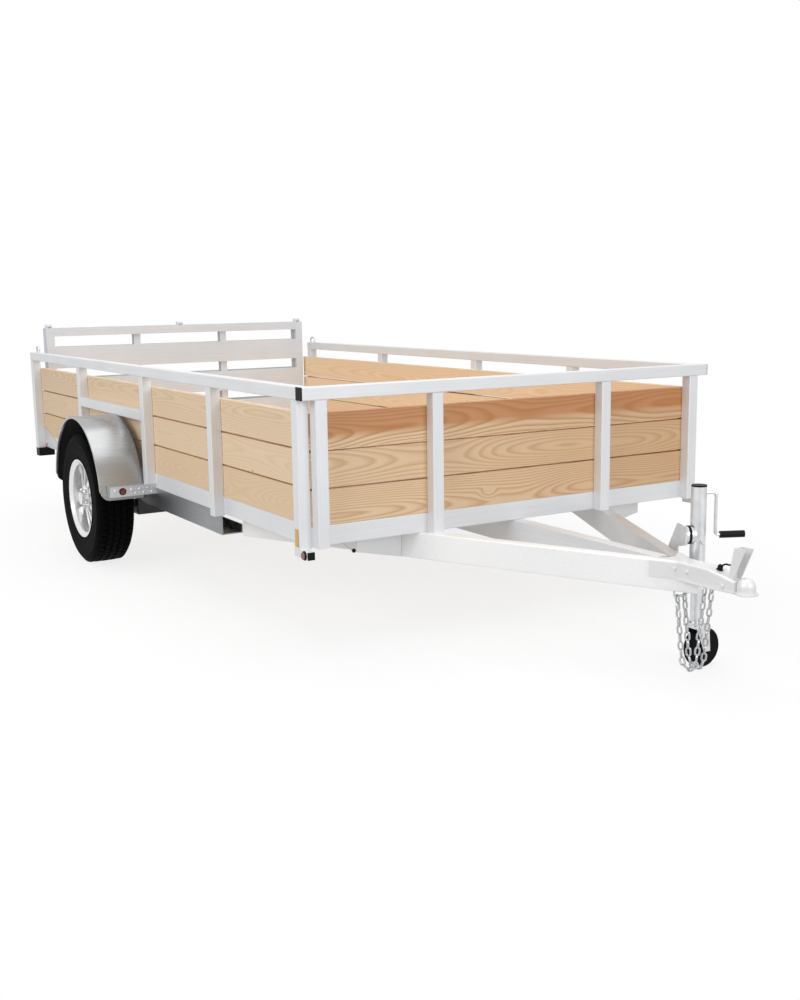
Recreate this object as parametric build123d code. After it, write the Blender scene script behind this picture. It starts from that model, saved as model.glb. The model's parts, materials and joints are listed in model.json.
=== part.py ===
from build123d import *
import os
from math import atan, cos, degrees, hypot, radians, sin, sqrt

# Single-axle aluminium utility trailer with timber sides, a two-panel folding ramp gate,
# round fenders and a swivel jack. Millimetres.
# Work frame: x = 0 at the bed's front face, +X forwards to the coupler, +Y to the trailer's
# left, z = 0 on the ground. On export everything moves along X, so that the origin lies on
# the ground at the middle of the overall length.

# Bed
bed_width = 2083.0
bed_length = 3962.0
tube = 50.8
tube_corner = 4.0
deck_top = 515.4
floor_rail_height = 80.0
deck_thickness = 38.1
deck_plank_count = 10
deck_plank_gap = 4.0
crossmember_count = 7
sill_setback = 49.0

# Sides
board_height = 139.7
board_thickness = 38.1
board_gap = 8.0
board_rows = 3
open_gap_above_boards = 54.4
post_drop = 5.0
corner_slit = 3.0
front_post_offset = 439.0
front_post_station = 78.4
second_post_station = 928.0
third_post_station = 1811.0
fourth_post_station = 2902.0
rail_cap_thickness = 3.0
board_end_gap = 7.0
rear_gusset_reach = 290.0
rear_gusset_rise = 64.0
rear_gusset_fall = 28.0

# Running gear
axle_station = 2250.0
tyre_bed_gap = 21.0
tyre_radius = 346.0
tyre_width = 199.0
rim_seat_radius = 191.0
rim_flange_radius = 208.0
rim_width = 184.0
rim_wall = 8.0
spoke_pairs = 5
spoke_root = 44.0
spoke_root_half = 31.0
spoke_tip_half = 58.0
spoke_split_root = 4.0
spoke_split_tip = 18.0
spoke_root_back = 30.0
spoke_root_front = 60.0
spoke_tip_back = 8.0
spoke_tip_front = 36.0
hub_radius = 66.0
hub_back = -40.0
hub_front = 64.0
cap_radius = 34.0
cap_front = 90.0
spindle_radius = 22.0
spindle_past_wheel = 28.0
bore_end_gap = 2.0
bead_gap = 1.0
sidewall_step = 2.0
running_gap = 0.3
seat_gap = 0.3
axle_tube = 76.0
torsion_arm_length = 150.0
arm_thickness = 30.0
arm_bed_inset = 11.5
arm_eye_radius = 32.0

# Fenders
fender_tyre_gap = 64.0
fender_sheet = 3.0
fender_centre_drop = 143.4
fender_foot_rise = 15.0
fender_width = 220.0
fender_lip = 10.0
fender_corner = 45.0
fender_bracket_depth = 50.0
fender_bracket_height = 53.0
fender_bracket_rise = 22.0
fender_bracket_inset = 30.0
fender_brace_rise = 264.6
sub_rail_height = 101.6
sub_rail_width = 100.0
sub_rail_lip = 40.0
sub_rail_sheet = 5.0
sub_rail_front = 945.0
sub_rail_rear = 2700.0

# Tongue and coupler
tongue_spread = 478.0
tongue_reach = 998.0
tongue_width = 50.8
tongue_height = 108.0
tongue_rear = 900.0
centre_beam_rear = 1250.0
centre_beam_end_gap = 7.0
gusset_station = 135.0
gusset_reach = 210.0
gusset_thickness = 6.0
gusset_tip_height = 63.0
gusset_corner = 15.0
coupler_overlap = 163.0
coupler_wall = 5.0
coupler_drop = 61.0
coupler_neck = 40.0
coupler_corner = 8.0
coupler_flange = 6.0
coupler_lip = 8.0
coupler_bite_radius = 52.0
coupler_bite_setback = 20.0
ball_ahead = 220.0
ball_rise = 25.6
ball_socket_radius = 25.9
nose_radius = 32.0
neck_end_half = 28.0
neck_slope_ahead = 82.0
neck_end_rise = 41.6
lever_setback = 62.0
lever_foot_depth = 20.0
lever_lean = 22.0
lever_head_depth = 48.0
lever_rise = 90.0
lever_width = 44.0
lever_sheet = 4.0
chain_bolt_radius = 4.5
chain_bolt_ahead = 52.0
chain_bolt_rise = 16.0

# Safety chains
link_wire = 7.5
link_pitch = 29.0
link_width = 15.0
link_corner = 6.5
link_slack = 0.6
link_count = 23
link_turn = 45.0
chain_spacing = 36.0
chain_loop_radius = 36.0
chain_reach = 135.0
staple_drop = 22.0
staple_span = 68.0

# Jack
jack_setback = 160.0
jack_offset = 58.0
jack_tube_radius = 28.5
jack_rise = 250.6
jack_tube_drop = 118.4
jack_pivot_rise = 71.6
jack_leg_radius = 20.0
jack_leg_rise = 31.6
jack_flange_radius = 32.0
jack_flange_gap = 12.0
jack_top_plate = 8.0
jack_cap_height = 6.0
jack_cap_inset = 0.5
jack_plate_thickness = 8.0
jack_mount_front = 62.0
jack_mount_rear = 150.0
jack_mount_margin = 20.0
jack_foot_height = 10.0
jack_foot_lip = 10.0
crank_drop = 24.0
crank_rod_radius = 6.0
crank_root = 1.0
crank_reach = 37.0
crank_arm = 158.0
rod_bend = 2.2
grip_length = 92.0
grip_radius = 13.0
grip_setback = 18.0
caster_radius = 75.0
caster_width = 44.0
caster_shoulder = 7.0
caster_trail = 34.0
caster_heading = 115.0
caster_plate_height = 166.0
caster_plate_thickness = 8.0
caster_plate_rear = 30.0
caster_plate_front = 42.0
caster_cheek = 5.0
caster_cheek_gap = 4.0
caster_cheek_rear = 22.0
caster_cheek_foot = 16.0
caster_cheek_drop = 12.0
caster_pin_radius = 6.0
kingpin_radius = 9.0
kingpin_height = 38.0

# Gate
gate_side_gap = 6.0
gate_thickness = 38.1
gate_panel_gap = 10.0
gate_hinge_inset_from_rear = 13.0
gate_hinge_drop = 8.4
gate_bottom_gap = 18.0
gate_panel_rise = 701.0
gate_fold_rise = 13.0
gate_upper_gap = 25.0
gate_bar_height = 54.0
gate_plank_height = 141.0
gate_plank_rows = 3
gate_plank_first_drop = 124.0
gate_back_depth = 18.0
gate_upright_offset = 315.0
gate_upright_width = 45.0
gate_hinge_inset = 150.0
gate_fold_inset = 26.0
knuckle_radius = 11.0
knuckle_width = 23.0
knuckle_root = 2.0
lug_width = 9.0
lug_gap = 0.5
hinge_pin_radius = 6.0

# Lamps and small fittings
stub_size = 30.0
stub_length = 110.0
stub_cap_thickness = 4.0
lamp_radius = 14.0
lamp_depth = 9.0
lamp_setback = 24.0
fender_lamp_inset = 95.0
reflector_height = 70.0
reflector_width = 24.0
reflector_depth = 3.0
reflector_rise = 4.0
tail_lamp_height = 52.0
tail_lamp_depth = 70.0
latch_rod_radius = 6.0
latch_loop_height = 34.0
latch_loop_span = 60.0
latch_setback = 34.0
latch_inset = 14.0

# Derived places
half_bed = bed_width / 2
fender_radius = tyre_radius + fender_tyre_gap
fender_inner = half_bed + seat_gap
fender_outer = fender_inner + fender_width
board_face = half_bed - tube
board_back = board_face - board_thickness
rail_inner = board_face - tube
floor_bottom = deck_top - floor_rail_height
boards_top = deck_top + board_rows * board_height + (board_rows - 1) * board_gap
rail_bottom = boards_top + open_gap_above_boards
rail_top = rail_bottom + tube
rear_face = -bed_length
fender_centre_height = deck_top - fender_centre_drop
fender_foot_height = fender_centre_height + fender_foot_rise
fender_brace_height = deck_top + fender_brace_rise
hinge_x = rear_face + gate_hinge_inset_from_rear
gate_rear = hinge_x - gate_thickness / 2 - gate_panel_gap - gate_thickness
fold_x = hinge_x - gate_thickness / 2 - gate_panel_gap / 2
sill_rear = rear_face + sill_setback
gate_half_width = rail_inner - gate_side_gap
gate_hinge_height = deck_top - gate_hinge_drop
gate_panel_top = gate_hinge_height + gate_panel_rise
gate_fold_height = gate_panel_top + gate_fold_rise
wheel_centre = half_bed + tyre_bed_gap + tyre_width / 2
arm_outer_face = half_bed - arm_bed_inset
tongue_angle = atan(tongue_spread / tongue_reach)
tongue_slope = tongue_spread / tongue_reach
tongue_bottom = floor_bottom - tongue_height
coupler_bottom = floor_bottom - coupler_drop
coupler_top = floor_bottom + coupler_wall
ball_height = coupler_bottom + ball_rise
neck_end_height = coupler_bottom + neck_end_rise
coupler_rear = tongue_reach - coupler_overlap
neck_slope_start = tongue_reach + neck_slope_ahead
chain_bolt_station = tongue_reach + chain_bolt_ahead
jack_station = tongue_reach - jack_setback
ball_station = tongue_reach + ball_ahead
nose_tip = ball_station + nose_radius + coupler_lip
jack_top = floor_bottom + jack_rise
jack_tube_bottom = floor_bottom - jack_tube_drop
jack_pivot_height = floor_bottom + jack_pivot_rise
jack_leg_top = floor_bottom + jack_leg_rise
crank_height = jack_top - crank_drop
overall_middle = (nose_tip + gate_rear) / 2


def block(x, y, z):
    """Box between pairs of low and high values."""
    size = [abs(end - start) for start, end in (x, y, z)]
    middle = [(start + end) / 2 for start, end in (x, y, z)]
    return Pos(*middle) * Box(*size)


def bar(axis, x, y, z):
    """Box section between pairs of low and high values, rounded along its length."""
    return fillet(block(x, y, z).edges().filter_by(axis), tube_corner)


def mirrored(shape):
    """The same piece on the trailer's other side."""
    return mirror(shape, about=Plane.XZ)


def prism(points, z):
    """Plan outline carried up between two heights."""
    low, high = z
    face = make_face(Polyline(*points, close=True))
    return Pos(0, 0, low) * extrude(face, high - low)


def side_plate(points, y):
    """Outline in the X-Z plane carried across between two values of y."""
    low, high = y
    face = make_face(Polyline(*points, close=True))
    return Pos(0, high, 0) * Rot(90, 0, 0) * extrude(face, high - low)


def cross_rod(x, z, radius, y):
    """Round bar along Y."""
    low, high = y
    return Pos(x, (low + high) / 2, z) * Rot(90, 0, 0) * Cylinder(radius, high - low)


def turned(points):
    """Solid of revolution about Z from points of radius and height."""
    return revolve(Plane.XZ * make_face(Polyline(*points, close=True)), Axis.Z)


def bent_rod(points, radius, bend):
    """Round rod along straight runs joined by arcs."""
    path = FilletPolyline(*points, radius=bend)
    start = Plane(origin=path @ 0, z_dir=path % 0)
    return sweep(start * Circle(radius), path=path)


def both_ways(half):
    """Plan outline from one side's points and their mirror images."""
    return half + [(x, -y) for x, y in reversed(half)]


def save(node, *shapes):
    """Write the solids of one node, moved to the trailer's own origin."""
    solids = [solid for shape in shapes for solid in shape.solids()]
    placed = [Pos(-overall_middle, 0, 0) * solid for solid in solids]
    export_step(placed[0] if len(placed) == 1 else Compound(placed), f"parts/{node}.step")


os.makedirs("parts", exist_ok=True)

# Floor frame: side rails, front rail, rear sill and crossmembers, all box section
floor_span = (floor_bottom, deck_top)
side_rail = bar(Axis.X, (rear_face, -2 * tube), (rail_inner, board_face), floor_span)
save("side_rails", side_rail, mirrored(side_rail))
save("front_rail", bar(Axis.Y, (-2 * tube, -tube), (-board_face, board_face), floor_span))
save("rear_sill", bar(Axis.Y, (sill_rear, sill_rear + tube), (-rail_inner, rail_inner), floor_span))

deck_front = -2 * tube
deck_rear = sill_rear + tube
crossmember_top = deck_top - deck_thickness
crossmember_step = (deck_front - deck_rear) / (crossmember_count + 1)
crossmembers = []
for index in range(crossmember_count):
    middle = deck_front - crossmember_step * (index + 1)
    span = (middle - tube / 2, middle + tube / 2)
    crossmembers.append(block(span, (-rail_inner, rail_inner), (floor_bottom, crossmember_top)))
save("crossmembers", *crossmembers)

# Deck: planks laid lengthwise on the crossmembers
plank_width = (2 * rail_inner - (deck_plank_count + 1) * deck_plank_gap) / deck_plank_count
planks = []
for index in range(deck_plank_count):
    edge = -rail_inner + deck_plank_gap + index * (plank_width + deck_plank_gap)
    planks.append(block((deck_rear, deck_front), (edge, edge + plank_width), (crossmember_top, deck_top)))
save("deck_planks", *planks)

# Sides: posts stand outside the rails and boards, under the top rails
fender_bracket_bottom = fender_foot_height + fender_bracket_rise
fender_bracket_top = fender_bracket_bottom + fender_bracket_height
fender_reach = sqrt(fender_radius**2 - (fender_bracket_bottom - fender_centre_height) ** 2)
fender_front = -axle_station + fender_reach
fender_back = -axle_station - fender_reach
front_bracket = (fender_front + seat_gap, fender_front + seat_gap + fender_bracket_depth)
rear_bracket = (fender_back - seat_gap - fender_bracket_depth, fender_back - seat_gap)
post_bottom = floor_bottom - post_drop
rear_post_station = bed_length - tube / 2
posts_by_fender = (third_post_station, fourth_post_station)
side_post_stations = (front_post_station, second_post_station, *posts_by_fender, rear_post_station)
side_posts = []
for station in side_post_stations:
    on_bracket = front_bracket[0] < -station < front_bracket[1]
    foot = fender_bracket_top if on_bracket else post_bottom
    span = (-station - tube / 2, -station + tube / 2)
    side_posts.append(bar(Axis.Z, span, (board_face, half_bed), (foot, rail_bottom)))
save("side_posts_left", *side_posts)
save("side_posts_right", *[mirrored(post) for post in side_posts])

corner_post = (board_face - tube - corner_slit, board_face - corner_slit)
middle_post = (front_post_offset - tube / 2, front_post_offset + tube / 2)
post_rise = (floor_bottom, rail_bottom)
front_posts = [bar(Axis.Z, (-tube, 0), y, post_rise) for y in (corner_post, middle_post)]
save("front_posts", *front_posts, *[mirrored(post) for post in front_posts])

rail_rise = (rail_bottom, rail_top)
top_rail = bar(Axis.X, (rear_face, -tube), (board_face, half_bed), rail_rise)
save("top_rails", top_rail, mirrored(top_rail))
save("front_top_rail", bar(Axis.Y, (-tube, 0), (-half_bed, half_bed), rail_rise))
rail_cap = bar(Axis.Y, (-tube, 0), (half_bed, half_bed + rail_cap_thickness), rail_rise)
save("rail_caps", rail_cap, mirrored(rail_cap))

front_board_back = -tube - board_thickness
side_boards = []
front_boards = []
for row in range(board_rows):
    low = deck_top + row * (board_height + board_gap)
    rise = (low, low + board_height)
    span = (rear_face + board_end_gap, front_board_back)
    side_boards.append(block(span, (board_back, board_face), rise))
    front_boards.append(block((front_board_back, -tube), (-board_face, board_face), rise))
save("side_boards_left", *side_boards)
save("side_boards_right", *[mirrored(board) for board in side_boards])
save("front_boards", *front_boards)

brace_span = (-fourth_post_station + tube / 2, -third_post_station - tube / 2)
brace_rise = (fender_brace_height, fender_brace_height + tube)
brace = bar(Axis.X, brace_span, (board_face, half_bed), brace_rise)
save("fender_braces", brace, mirrored(brace))

# Sub-rails: folded channels under the side rails, which carry the axle
sub_rail_bottom = floor_bottom - sub_rail_height
channel_inner = board_face - sub_rail_width
channel_length = (-sub_rail_rear, -sub_rail_front)
channel = block(channel_length, (channel_inner, board_face), (sub_rail_bottom, floor_bottom))
hollow = block(
    channel_length,
    (channel_inner + sub_rail_sheet, board_face - sub_rail_sheet),
    (sub_rail_bottom + sub_rail_sheet, floor_bottom - sub_rail_sheet),
)
slot = block(
    channel_length,
    (channel_inner, channel_inner + sub_rail_sheet),
    (sub_rail_bottom + sub_rail_lip, floor_bottom),
)
sub_rail = channel - hollow - slot
save("sub_rails", sub_rail, mirrored(sub_rail))

# Axle: square beam under the sub-rails, with trailing torsion arms and wheel spindles
axle_x = -axle_station
beam_x = axle_x + torsion_arm_length
beam_z = sub_rail_bottom - axle_tube / 2
arm_inner_face = arm_outer_face - arm_thickness
beam_span = (beam_x - axle_tube / 2, beam_x + axle_tube / 2)
beam_rise = (beam_z - axle_tube / 2, sub_rail_bottom)
save("axle_beam", bar(Axis.Y, beam_span, (-arm_inner_face, arm_inner_face), beam_rise))

arm_face = (arm_inner_face, arm_outer_face)
arm_ends = ((beam_x, beam_z), (axle_x, tyre_radius))
arm = cross_rod(*arm_ends[0], arm_eye_radius, arm_face) + cross_rod(*arm_ends[1], arm_eye_radius, arm_face)
arm_outline = [
    (beam_x, beam_z - arm_eye_radius),
    (beam_x, beam_z + arm_eye_radius),
    (axle_x, tyre_radius + arm_eye_radius),
    (axle_x, tyre_radius - arm_eye_radius),
]
arm += side_plate(arm_outline, arm_face)
spindle_end = wheel_centre + spindle_past_wheel
arm += cross_rod(axle_x, tyre_radius, spindle_radius, (arm_inner_face, spindle_end))
save("axle_arms", arm, mirrored(arm))

# Wheels: made with the axle along Z and the outer face up, then turned to lie along Y
half_rim = rim_width / 2
half_barrel = [
    (rim_flange_radius - rim_wall, half_rim),
    (rim_seat_radius - rim_wall, half_rim - 2 * rim_wall),
    (rim_seat_radius, half_rim - 1.5 * rim_wall),
    (rim_flange_radius, half_rim - rim_wall),
    (rim_flange_radius, half_rim),
]
barrel_inside = half_barrel[:2] + [(radius, -axial) for radius, axial in reversed(half_barrel[:2])]
barrel = turned([
    *half_barrel[2:],
    *barrel_inside,
    *[(radius, -axial) for radius, axial in reversed(half_barrel[2:])],
])
spoke_reach = rim_seat_radius - rim_wall / 2
spoke_plan = [
    (spoke_root, spoke_split_root),
    (spoke_reach, spoke_split_tip),
    (spoke_reach, spoke_tip_half),
    (spoke_root, spoke_root_half),
]
spoke_profile = [
    (spoke_root, spoke_root_back),
    (spoke_reach, spoke_tip_back),
    (spoke_reach, spoke_tip_front),
    (spoke_root, spoke_root_front),
]
spoke = prism(spoke_plan, (spoke_tip_back, spoke_root_front))
spoke = spoke & side_plate(spoke_profile, (0, spoke_tip_half)) & Cylinder(spoke_reach, rim_width)
spoke_pair = spoke + mirror(spoke, about=Plane.XZ)
hub = Pos(0, 0, (hub_back + hub_front) / 2) * Cylinder(hub_radius, hub_front - hub_back)
hub += Pos(0, 0, (hub_front + cap_front) / 2) * Cylinder(cap_radius, cap_front - hub_front)
bore_end = spindle_past_wheel + bore_end_gap
hub -= Pos(0, 0, (hub_back + bore_end) / 2) * Cylinder(spindle_radius + running_gap, bore_end - hub_back)
rim = barrel + hub
for index in range(spoke_pairs):
    rim += Rot(0, 0, 90 + index * 360 / spoke_pairs) * spoke_pair

half_tyre = tyre_width / 2
tread_profile = [
    # drop below the tread, inset from the tyre's side
    (92.0, 3.0),
    (62.0, 0.0),
    (26.0, 8.0),
    (7.0, 18.0),
    (0.0, 34.0),
]
half_tyre_profile = [
    (rim_seat_radius + seat_gap, half_rim - 1.5 * rim_wall - bead_gap),
    (rim_flange_radius + seat_gap, half_rim - rim_wall - bead_gap),
    (rim_flange_radius + sidewall_step, half_rim + sidewall_step),
    *[(tyre_radius - drop, half_tyre - inset) for drop, inset in tread_profile],
]
tyre = turned(half_tyre_profile + [(radius, -axial) for radius, axial in reversed(half_tyre_profile)])
wheel_place = Pos(axle_x, wheel_centre, tyre_radius) * Rot(-90, 0, 0)
for side, turn in (("left", lambda piece: piece), ("right", mirrored)):
    save(f"rim_{side}", turn(wheel_place * rim))
    save(f"tyre_{side}", turn(wheel_place * tyre))

# Fenders: half-round sheet with a rolled outer lip, on brackets from the side rails
fender_place = Pos(axle_x, 0, fender_centre_height)
lip_span = (fender_outer - fender_lip / 2, fender_outer + fender_lip / 2)


def fender_ring(inner, outer, y):
    """Hoop around the wheel's axis between two radii."""
    hoop = cross_rod(0, 0, outer, y) - cross_rod(0, 0, inner, y)
    return fender_place * hoop


fender = fender_ring(fender_radius - fender_sheet, fender_radius, (fender_inner, fender_outer))
fender += fender_ring(fender_radius - fender_lip, fender_radius + fender_sheet, lip_span)
fender_length = (-2 * axle_station, 0)
below_foot = block(fender_length, (0, 2 * fender_outer), (-fender_radius, fender_foot_height))
corner_y = fender_outer - fender_corner
corner_z = fender_foot_height + fender_corner
outer_corner = block(fender_length, (corner_y, 2 * fender_outer), (fender_foot_height, corner_z))
corner_round = Pos(-axle_station, corner_y, corner_z) * Rot(0, 90, 0)
outer_corner -= corner_round * Cylinder(fender_corner, 2 * axle_station)
fender = fender - below_foot - outer_corner
save("fenders", fender, mirrored(fender))

brackets = []
for span in (front_bracket, rear_bracket):
    rise = (fender_bracket_bottom, fender_bracket_top)
    brackets.append(block(span, (board_face, fender_outer - fender_bracket_inset), rise))
save("fender_brackets", *brackets, *[mirrored(bracket) for bracket in brackets])

# Tongue: two beams that meet at the coupler, a centre beam between them and corner gussets
tongue_skew = tongue_width / cos(tongue_angle)


def beam_outer(x):
    """Half width of the tongue over its outer faces at a place along X."""
    return tongue_spread - tongue_slope * x


def runs_slantwise(edge):
    """True for an edge along a tongue beam."""
    way = edge.tangent_at(0)
    return min(abs(way.X), abs(way.Y)) > sin(tongue_angle) / 2


inner_meet = (tongue_spread - tongue_skew) / tongue_slope
beam_outline = [
    (-tongue_rear, beam_outer(-tongue_rear)),
    (tongue_reach, 0),
    (inner_meet, 0),
    (-tongue_rear, beam_outer(-tongue_rear) - tongue_skew),
]
tongue_rise = (tongue_bottom, floor_bottom)
tongue_left = prism(beam_outline, tongue_rise)
tongue_left = fillet(tongue_left.edges().filter_by(runs_slantwise), tube_corner)
save("tongue_left", tongue_left)
save("tongue_right", mirrored(tongue_left))
centre_front = (tongue_spread - tongue_skew - tongue_width / 2) / tongue_slope - centre_beam_end_gap
centre_span = (-centre_beam_rear, centre_front)
save("tongue_centre", bar(Axis.X, centre_span, (-tongue_width / 2, tongue_width / 2), tongue_rise))

gusset_foot = beam_outer(-gusset_station)
gusset_outline = [
    (gusset_foot, floor_bottom),
    (gusset_foot, tongue_bottom),
    (gusset_foot + gusset_reach, floor_bottom - gusset_tip_height),
    (gusset_foot + gusset_reach, floor_bottom),
]
gusset_face = Plane.YZ * make_face(Polyline(*gusset_outline, close=True))
gusset = Pos(-gusset_station, 0, 0) * extrude(gusset_face, gusset_thickness)
outer_edges = gusset.edges().filter_by(Axis.X).sort_by(Axis.Y)[-2:]
gusset = fillet(outer_edges.sort_by(Axis.Z)[-1], gusset_corner)
save("tongue_gussets", gusset, mirrored(gusset))

# Rear gussets: plates in the corners between the side rails and the rear posts
rear_gusset_x = rear_face + tube
rear_gusset_outline = [
    (rear_gusset_x, floor_bottom + tube_corner),
    (rear_gusset_x + rear_gusset_reach, floor_bottom + tube_corner),
    (rear_gusset_x + rear_gusset_reach, deck_top - rear_gusset_fall),
    (rear_gusset_x, deck_top + rear_gusset_rise),
]
rear_gusset = side_plate(rear_gusset_outline, (board_face, board_face + gusset_thickness))
save("rear_gussets", rear_gusset, mirrored(rear_gusset))

# Coupler: pressed shell over the tongue's nose, open below, with a ball socket in its nose
wall_skew = coupler_wall / cos(tongue_angle)
neck_start = (tongue_spread + wall_skew - coupler_neck) / tongue_slope
inner_neck = coupler_neck - coupler_wall
inner_neck_start = (tongue_spread - inner_neck) / tongue_slope


def coupler_plan(rear, spread, neck, neck_at, nose, nose_at):
    """Plan of the coupler, from its rear edge to the neck's front end."""
    half = [(rear, spread - tongue_slope * rear), (neck_at, neck), (neck_slope_start, neck), (nose_at, nose)]
    return both_ways(half)


def neck_top(x):
    """Height of the neck's sloping top at a place along X."""
    part_way = (x - neck_slope_start) / (neck_end - neck_slope_start)
    return coupler_top + part_way * (neck_end_height - coupler_top)


def above_neck(drop):
    """What is cut away above the sloping top of the neck."""
    sky = coupler_top + nose_radius
    outline = [(neck_slope_start, coupler_top - drop), (neck_end, neck_end_height - drop), (neck_end, sky)]
    return side_plate(outline + [(neck_slope_start, sky)], (-nose_radius * 2, nose_radius * 2))


def rounds_over(edge):
    """True for the long upper edges of the coupler and the front corners of its neck."""
    ends = edge.vertices()
    way = edge.tangent_at(0)
    if min(end.Z for end in ends) > coupler_bottom + coupler_wall:
        return abs(way.X) > abs(way.Y)
    return min(end.X for end in ends) > neck_end - coupler_wall and abs(way.Z) > abs(way.Y)


neck_end = ball_station - ball_socket_radius - coupler_wall / 2
cavity_end = neck_end - coupler_wall
shell = prism(
    coupler_plan(coupler_rear, tongue_spread + wall_skew, coupler_neck, neck_start, neck_end_half, neck_end),
    (coupler_bottom, coupler_top),
)
shell = shell - above_neck(0)
shell = fillet(shell.edges().filter_by(rounds_over), coupler_corner)
flange_half = [
    (neck_start, coupler_neck + coupler_flange),
    (neck_slope_start, coupler_neck + coupler_flange),
    (neck_end, neck_end_half + coupler_flange),
]
flange = prism(both_ways(flange_half), (coupler_bottom, coupler_bottom + coupler_wall))
inner_end_half = neck_end_half - coupler_wall
cavity = prism(
    coupler_plan(coupler_rear, tongue_spread, inner_neck, inner_neck_start, inner_end_half, cavity_end),
    (coupler_bottom, floor_bottom),
)
bite_x = coupler_rear - coupler_bite_setback
bite = Pos(bite_x, 0, coupler_top) * Cylinder(coupler_bite_radius, 2 * coupler_wall)
neck = shell + flange - (cavity - above_neck(coupler_wall)) - bite
nose_profile = Polyline(
    (nose_radius, ball_rise),
    (nose_radius, coupler_wall),
    (nose_radius + coupler_lip, coupler_wall),
    (nose_radius + coupler_lip, 0),
    (ball_socket_radius, 0),
    (ball_socket_radius, ball_rise),
)
socket_arc = CenterArc((0, ball_rise), ball_socket_radius, 0, 90)
dome_arc = CenterArc((0, ball_rise), nose_radius, 0, 90)
crown = Line(socket_arc @ 1, dome_arc @ 1)
nose = revolve(Plane.XZ * make_face([nose_profile, socket_arc, crown, dome_arc]), Axis.Z)
coupler = neck + Pos(ball_station, 0, coupler_bottom) * nose
save("coupler", coupler)

# Coupler latch: folded sheet lever, open to the front, standing on the neck
lever_rear = ball_station - lever_setback
lever_front = lever_rear + lever_foot_depth
lever_top = coupler_top + lever_rise
lever_head = lever_rear + lever_lean
lever_outline = [
    (lever_rear, neck_top(lever_rear)),
    (lever_head, lever_top),
    (lever_head + lever_head_depth, lever_top),
    (lever_front, neck_top(lever_front)),
]
fold_outline = [
    (lever_rear + lever_sheet, coupler_bottom),
    (lever_rear + lever_sheet, neck_top(lever_rear)),
    (lever_head + lever_sheet, lever_top),
    (lever_head + lever_sheet, lever_top + lever_sheet),
    (lever_head + 2 * lever_head_depth, lever_top + lever_sheet),
    (lever_head + 2 * lever_head_depth, coupler_bottom),
]
lever = side_plate(lever_outline, (-lever_width / 2, lever_width / 2))
lever -= side_plate(fold_outline, (-lever_width / 2 + lever_sheet, lever_width / 2 - lever_sheet))
save("coupler_latch", lever)

# Chain anchors: a cross bolt in the coupler's neck and one wide staple under the tongue
bolt_height = coupler_bottom + chain_bolt_rise
chain_bolt = cross_rod(chain_bolt_station, bolt_height, chain_bolt_radius, (-inner_neck, inner_neck))
chain_rear_x = chain_bolt_station - chain_reach
staple_z = tongue_bottom - staple_drop
staple_points = [
    (chain_rear_x, -staple_span / 2, tongue_bottom),
    (chain_rear_x, -staple_span / 2, staple_z),
    (chain_rear_x, staple_span / 2, staple_z),
    (chain_rear_x, staple_span / 2, tongue_bottom),
]
staple = bent_rod(staple_points, chain_bolt_radius, rod_bend * chain_bolt_radius)
save("chain_anchors", chain_bolt, staple)


# Safety chains: interlocked links in a hanging loop under the coupler
def octagon(offset, height):
    """Outline around a link's middle line, moved out or in, with mitred corners."""
    half_length = (link_pitch + link_wire) / 2 + offset
    half_width = (link_width + link_wire) / 2 + offset
    cut = link_corner + (2 - sqrt(2)) * offset
    quarter = [(half_length, half_width - cut), (half_length - cut, half_width)]
    upper = quarter + [(-x, y) for x, y in reversed(quarter)]
    return [(x, y, height) for x, y in upper + [(-x, -y) for x, y in upper]]


def chain_link():
    """Closed ring of four-sided wire, lying in X-Y with its length along X."""
    half_wire = link_wire / 2
    rings = [octagon(half_wire, 0), octagon(0, half_wire), octagon(-half_wire, 0), octagon(0, -half_wire)]
    faces = []
    for ring, following in zip(rings, rings[1:] + rings[:1]):
        for corner in range(len(ring)):
            after = (corner + 1) % len(ring)
            sides = (ring[corner], ring[after], following[after], following[corner])
            faces.append(Face(Wire.make_polygon(sides)))
    return Solid(Shell(faces))


def seat_past(anchor, low):
    """Where a link's inner end seats on its bar, on the far side from the loop's low end."""
    run = hypot(anchor[0] - low[0], anchor[1] - low[1])
    grow = (chain_bolt_radius + link_slack) / run
    return tuple(high + (high - deep) * grow for high, deep in zip(anchor, low))


def chain_path(low_z):
    """Middle line of the hanging loop, as x and z, for a height of its sharp low corner."""
    low = ((chain_bolt_station + chain_rear_x) / 2, low_z)
    ends = (seat_past((chain_bolt_station, bolt_height), low), seat_past((chain_rear_x, staple_z), low))
    return FilletPolyline(ends[0], low, ends[1], radius=chain_loop_radius)


link = chain_link()
link_step = link_pitch - link_slack
shallow = coupler_bottom / 2
deep = -link_step * link_count
while shallow - deep > link_slack / 10:
    halfway = (shallow + deep) / 2
    if chain_path(halfway).length < link_step * link_count:
        shallow = halfway
    else:
        deep = halfway
path = chain_path(shallow)
seats = [path.position_at(index / link_count) for index in range(link_count + 1)]

links = []
for index in range(link_count):
    start, end = seats[index], seats[index + 1]
    along = Vector(end.X - start.X, 0, end.Y - start.Y).normalized()
    across = Vector(along.Z, 0, -along.X)
    swing = radians(link_turn * sin(radians(180 * index / (link_count - 1))) + 90 * (index % 2))
    facing = Vector(0, 1, 0) * cos(swing) + across * sin(swing)
    middle = ((start.X + end.X) / 2, chain_spacing / 2, (start.Y + end.Y) / 2)
    links.append(Plane(origin=middle, x_dir=along, z_dir=facing).location * link)
save("chain_left", *links)
save("chain_right", *[mirrored(piece) for piece in links])

# Jack: local frame with X forwards along the left tongue beam, Y outwards from it
jack_x = jack_station + jack_offset * sin(tongue_angle)
jack_y = beam_outer(jack_station) + jack_offset * cos(tongue_angle)
jack_place = Pos(jack_x, jack_y, 0) * Rot(0, 0, -degrees(tongue_angle))


def upright(radius, z):
    """Round bar along Z."""
    return Pos(0, 0, sum(z) / 2) * Cylinder(radius, z[1] - z[0])


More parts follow.
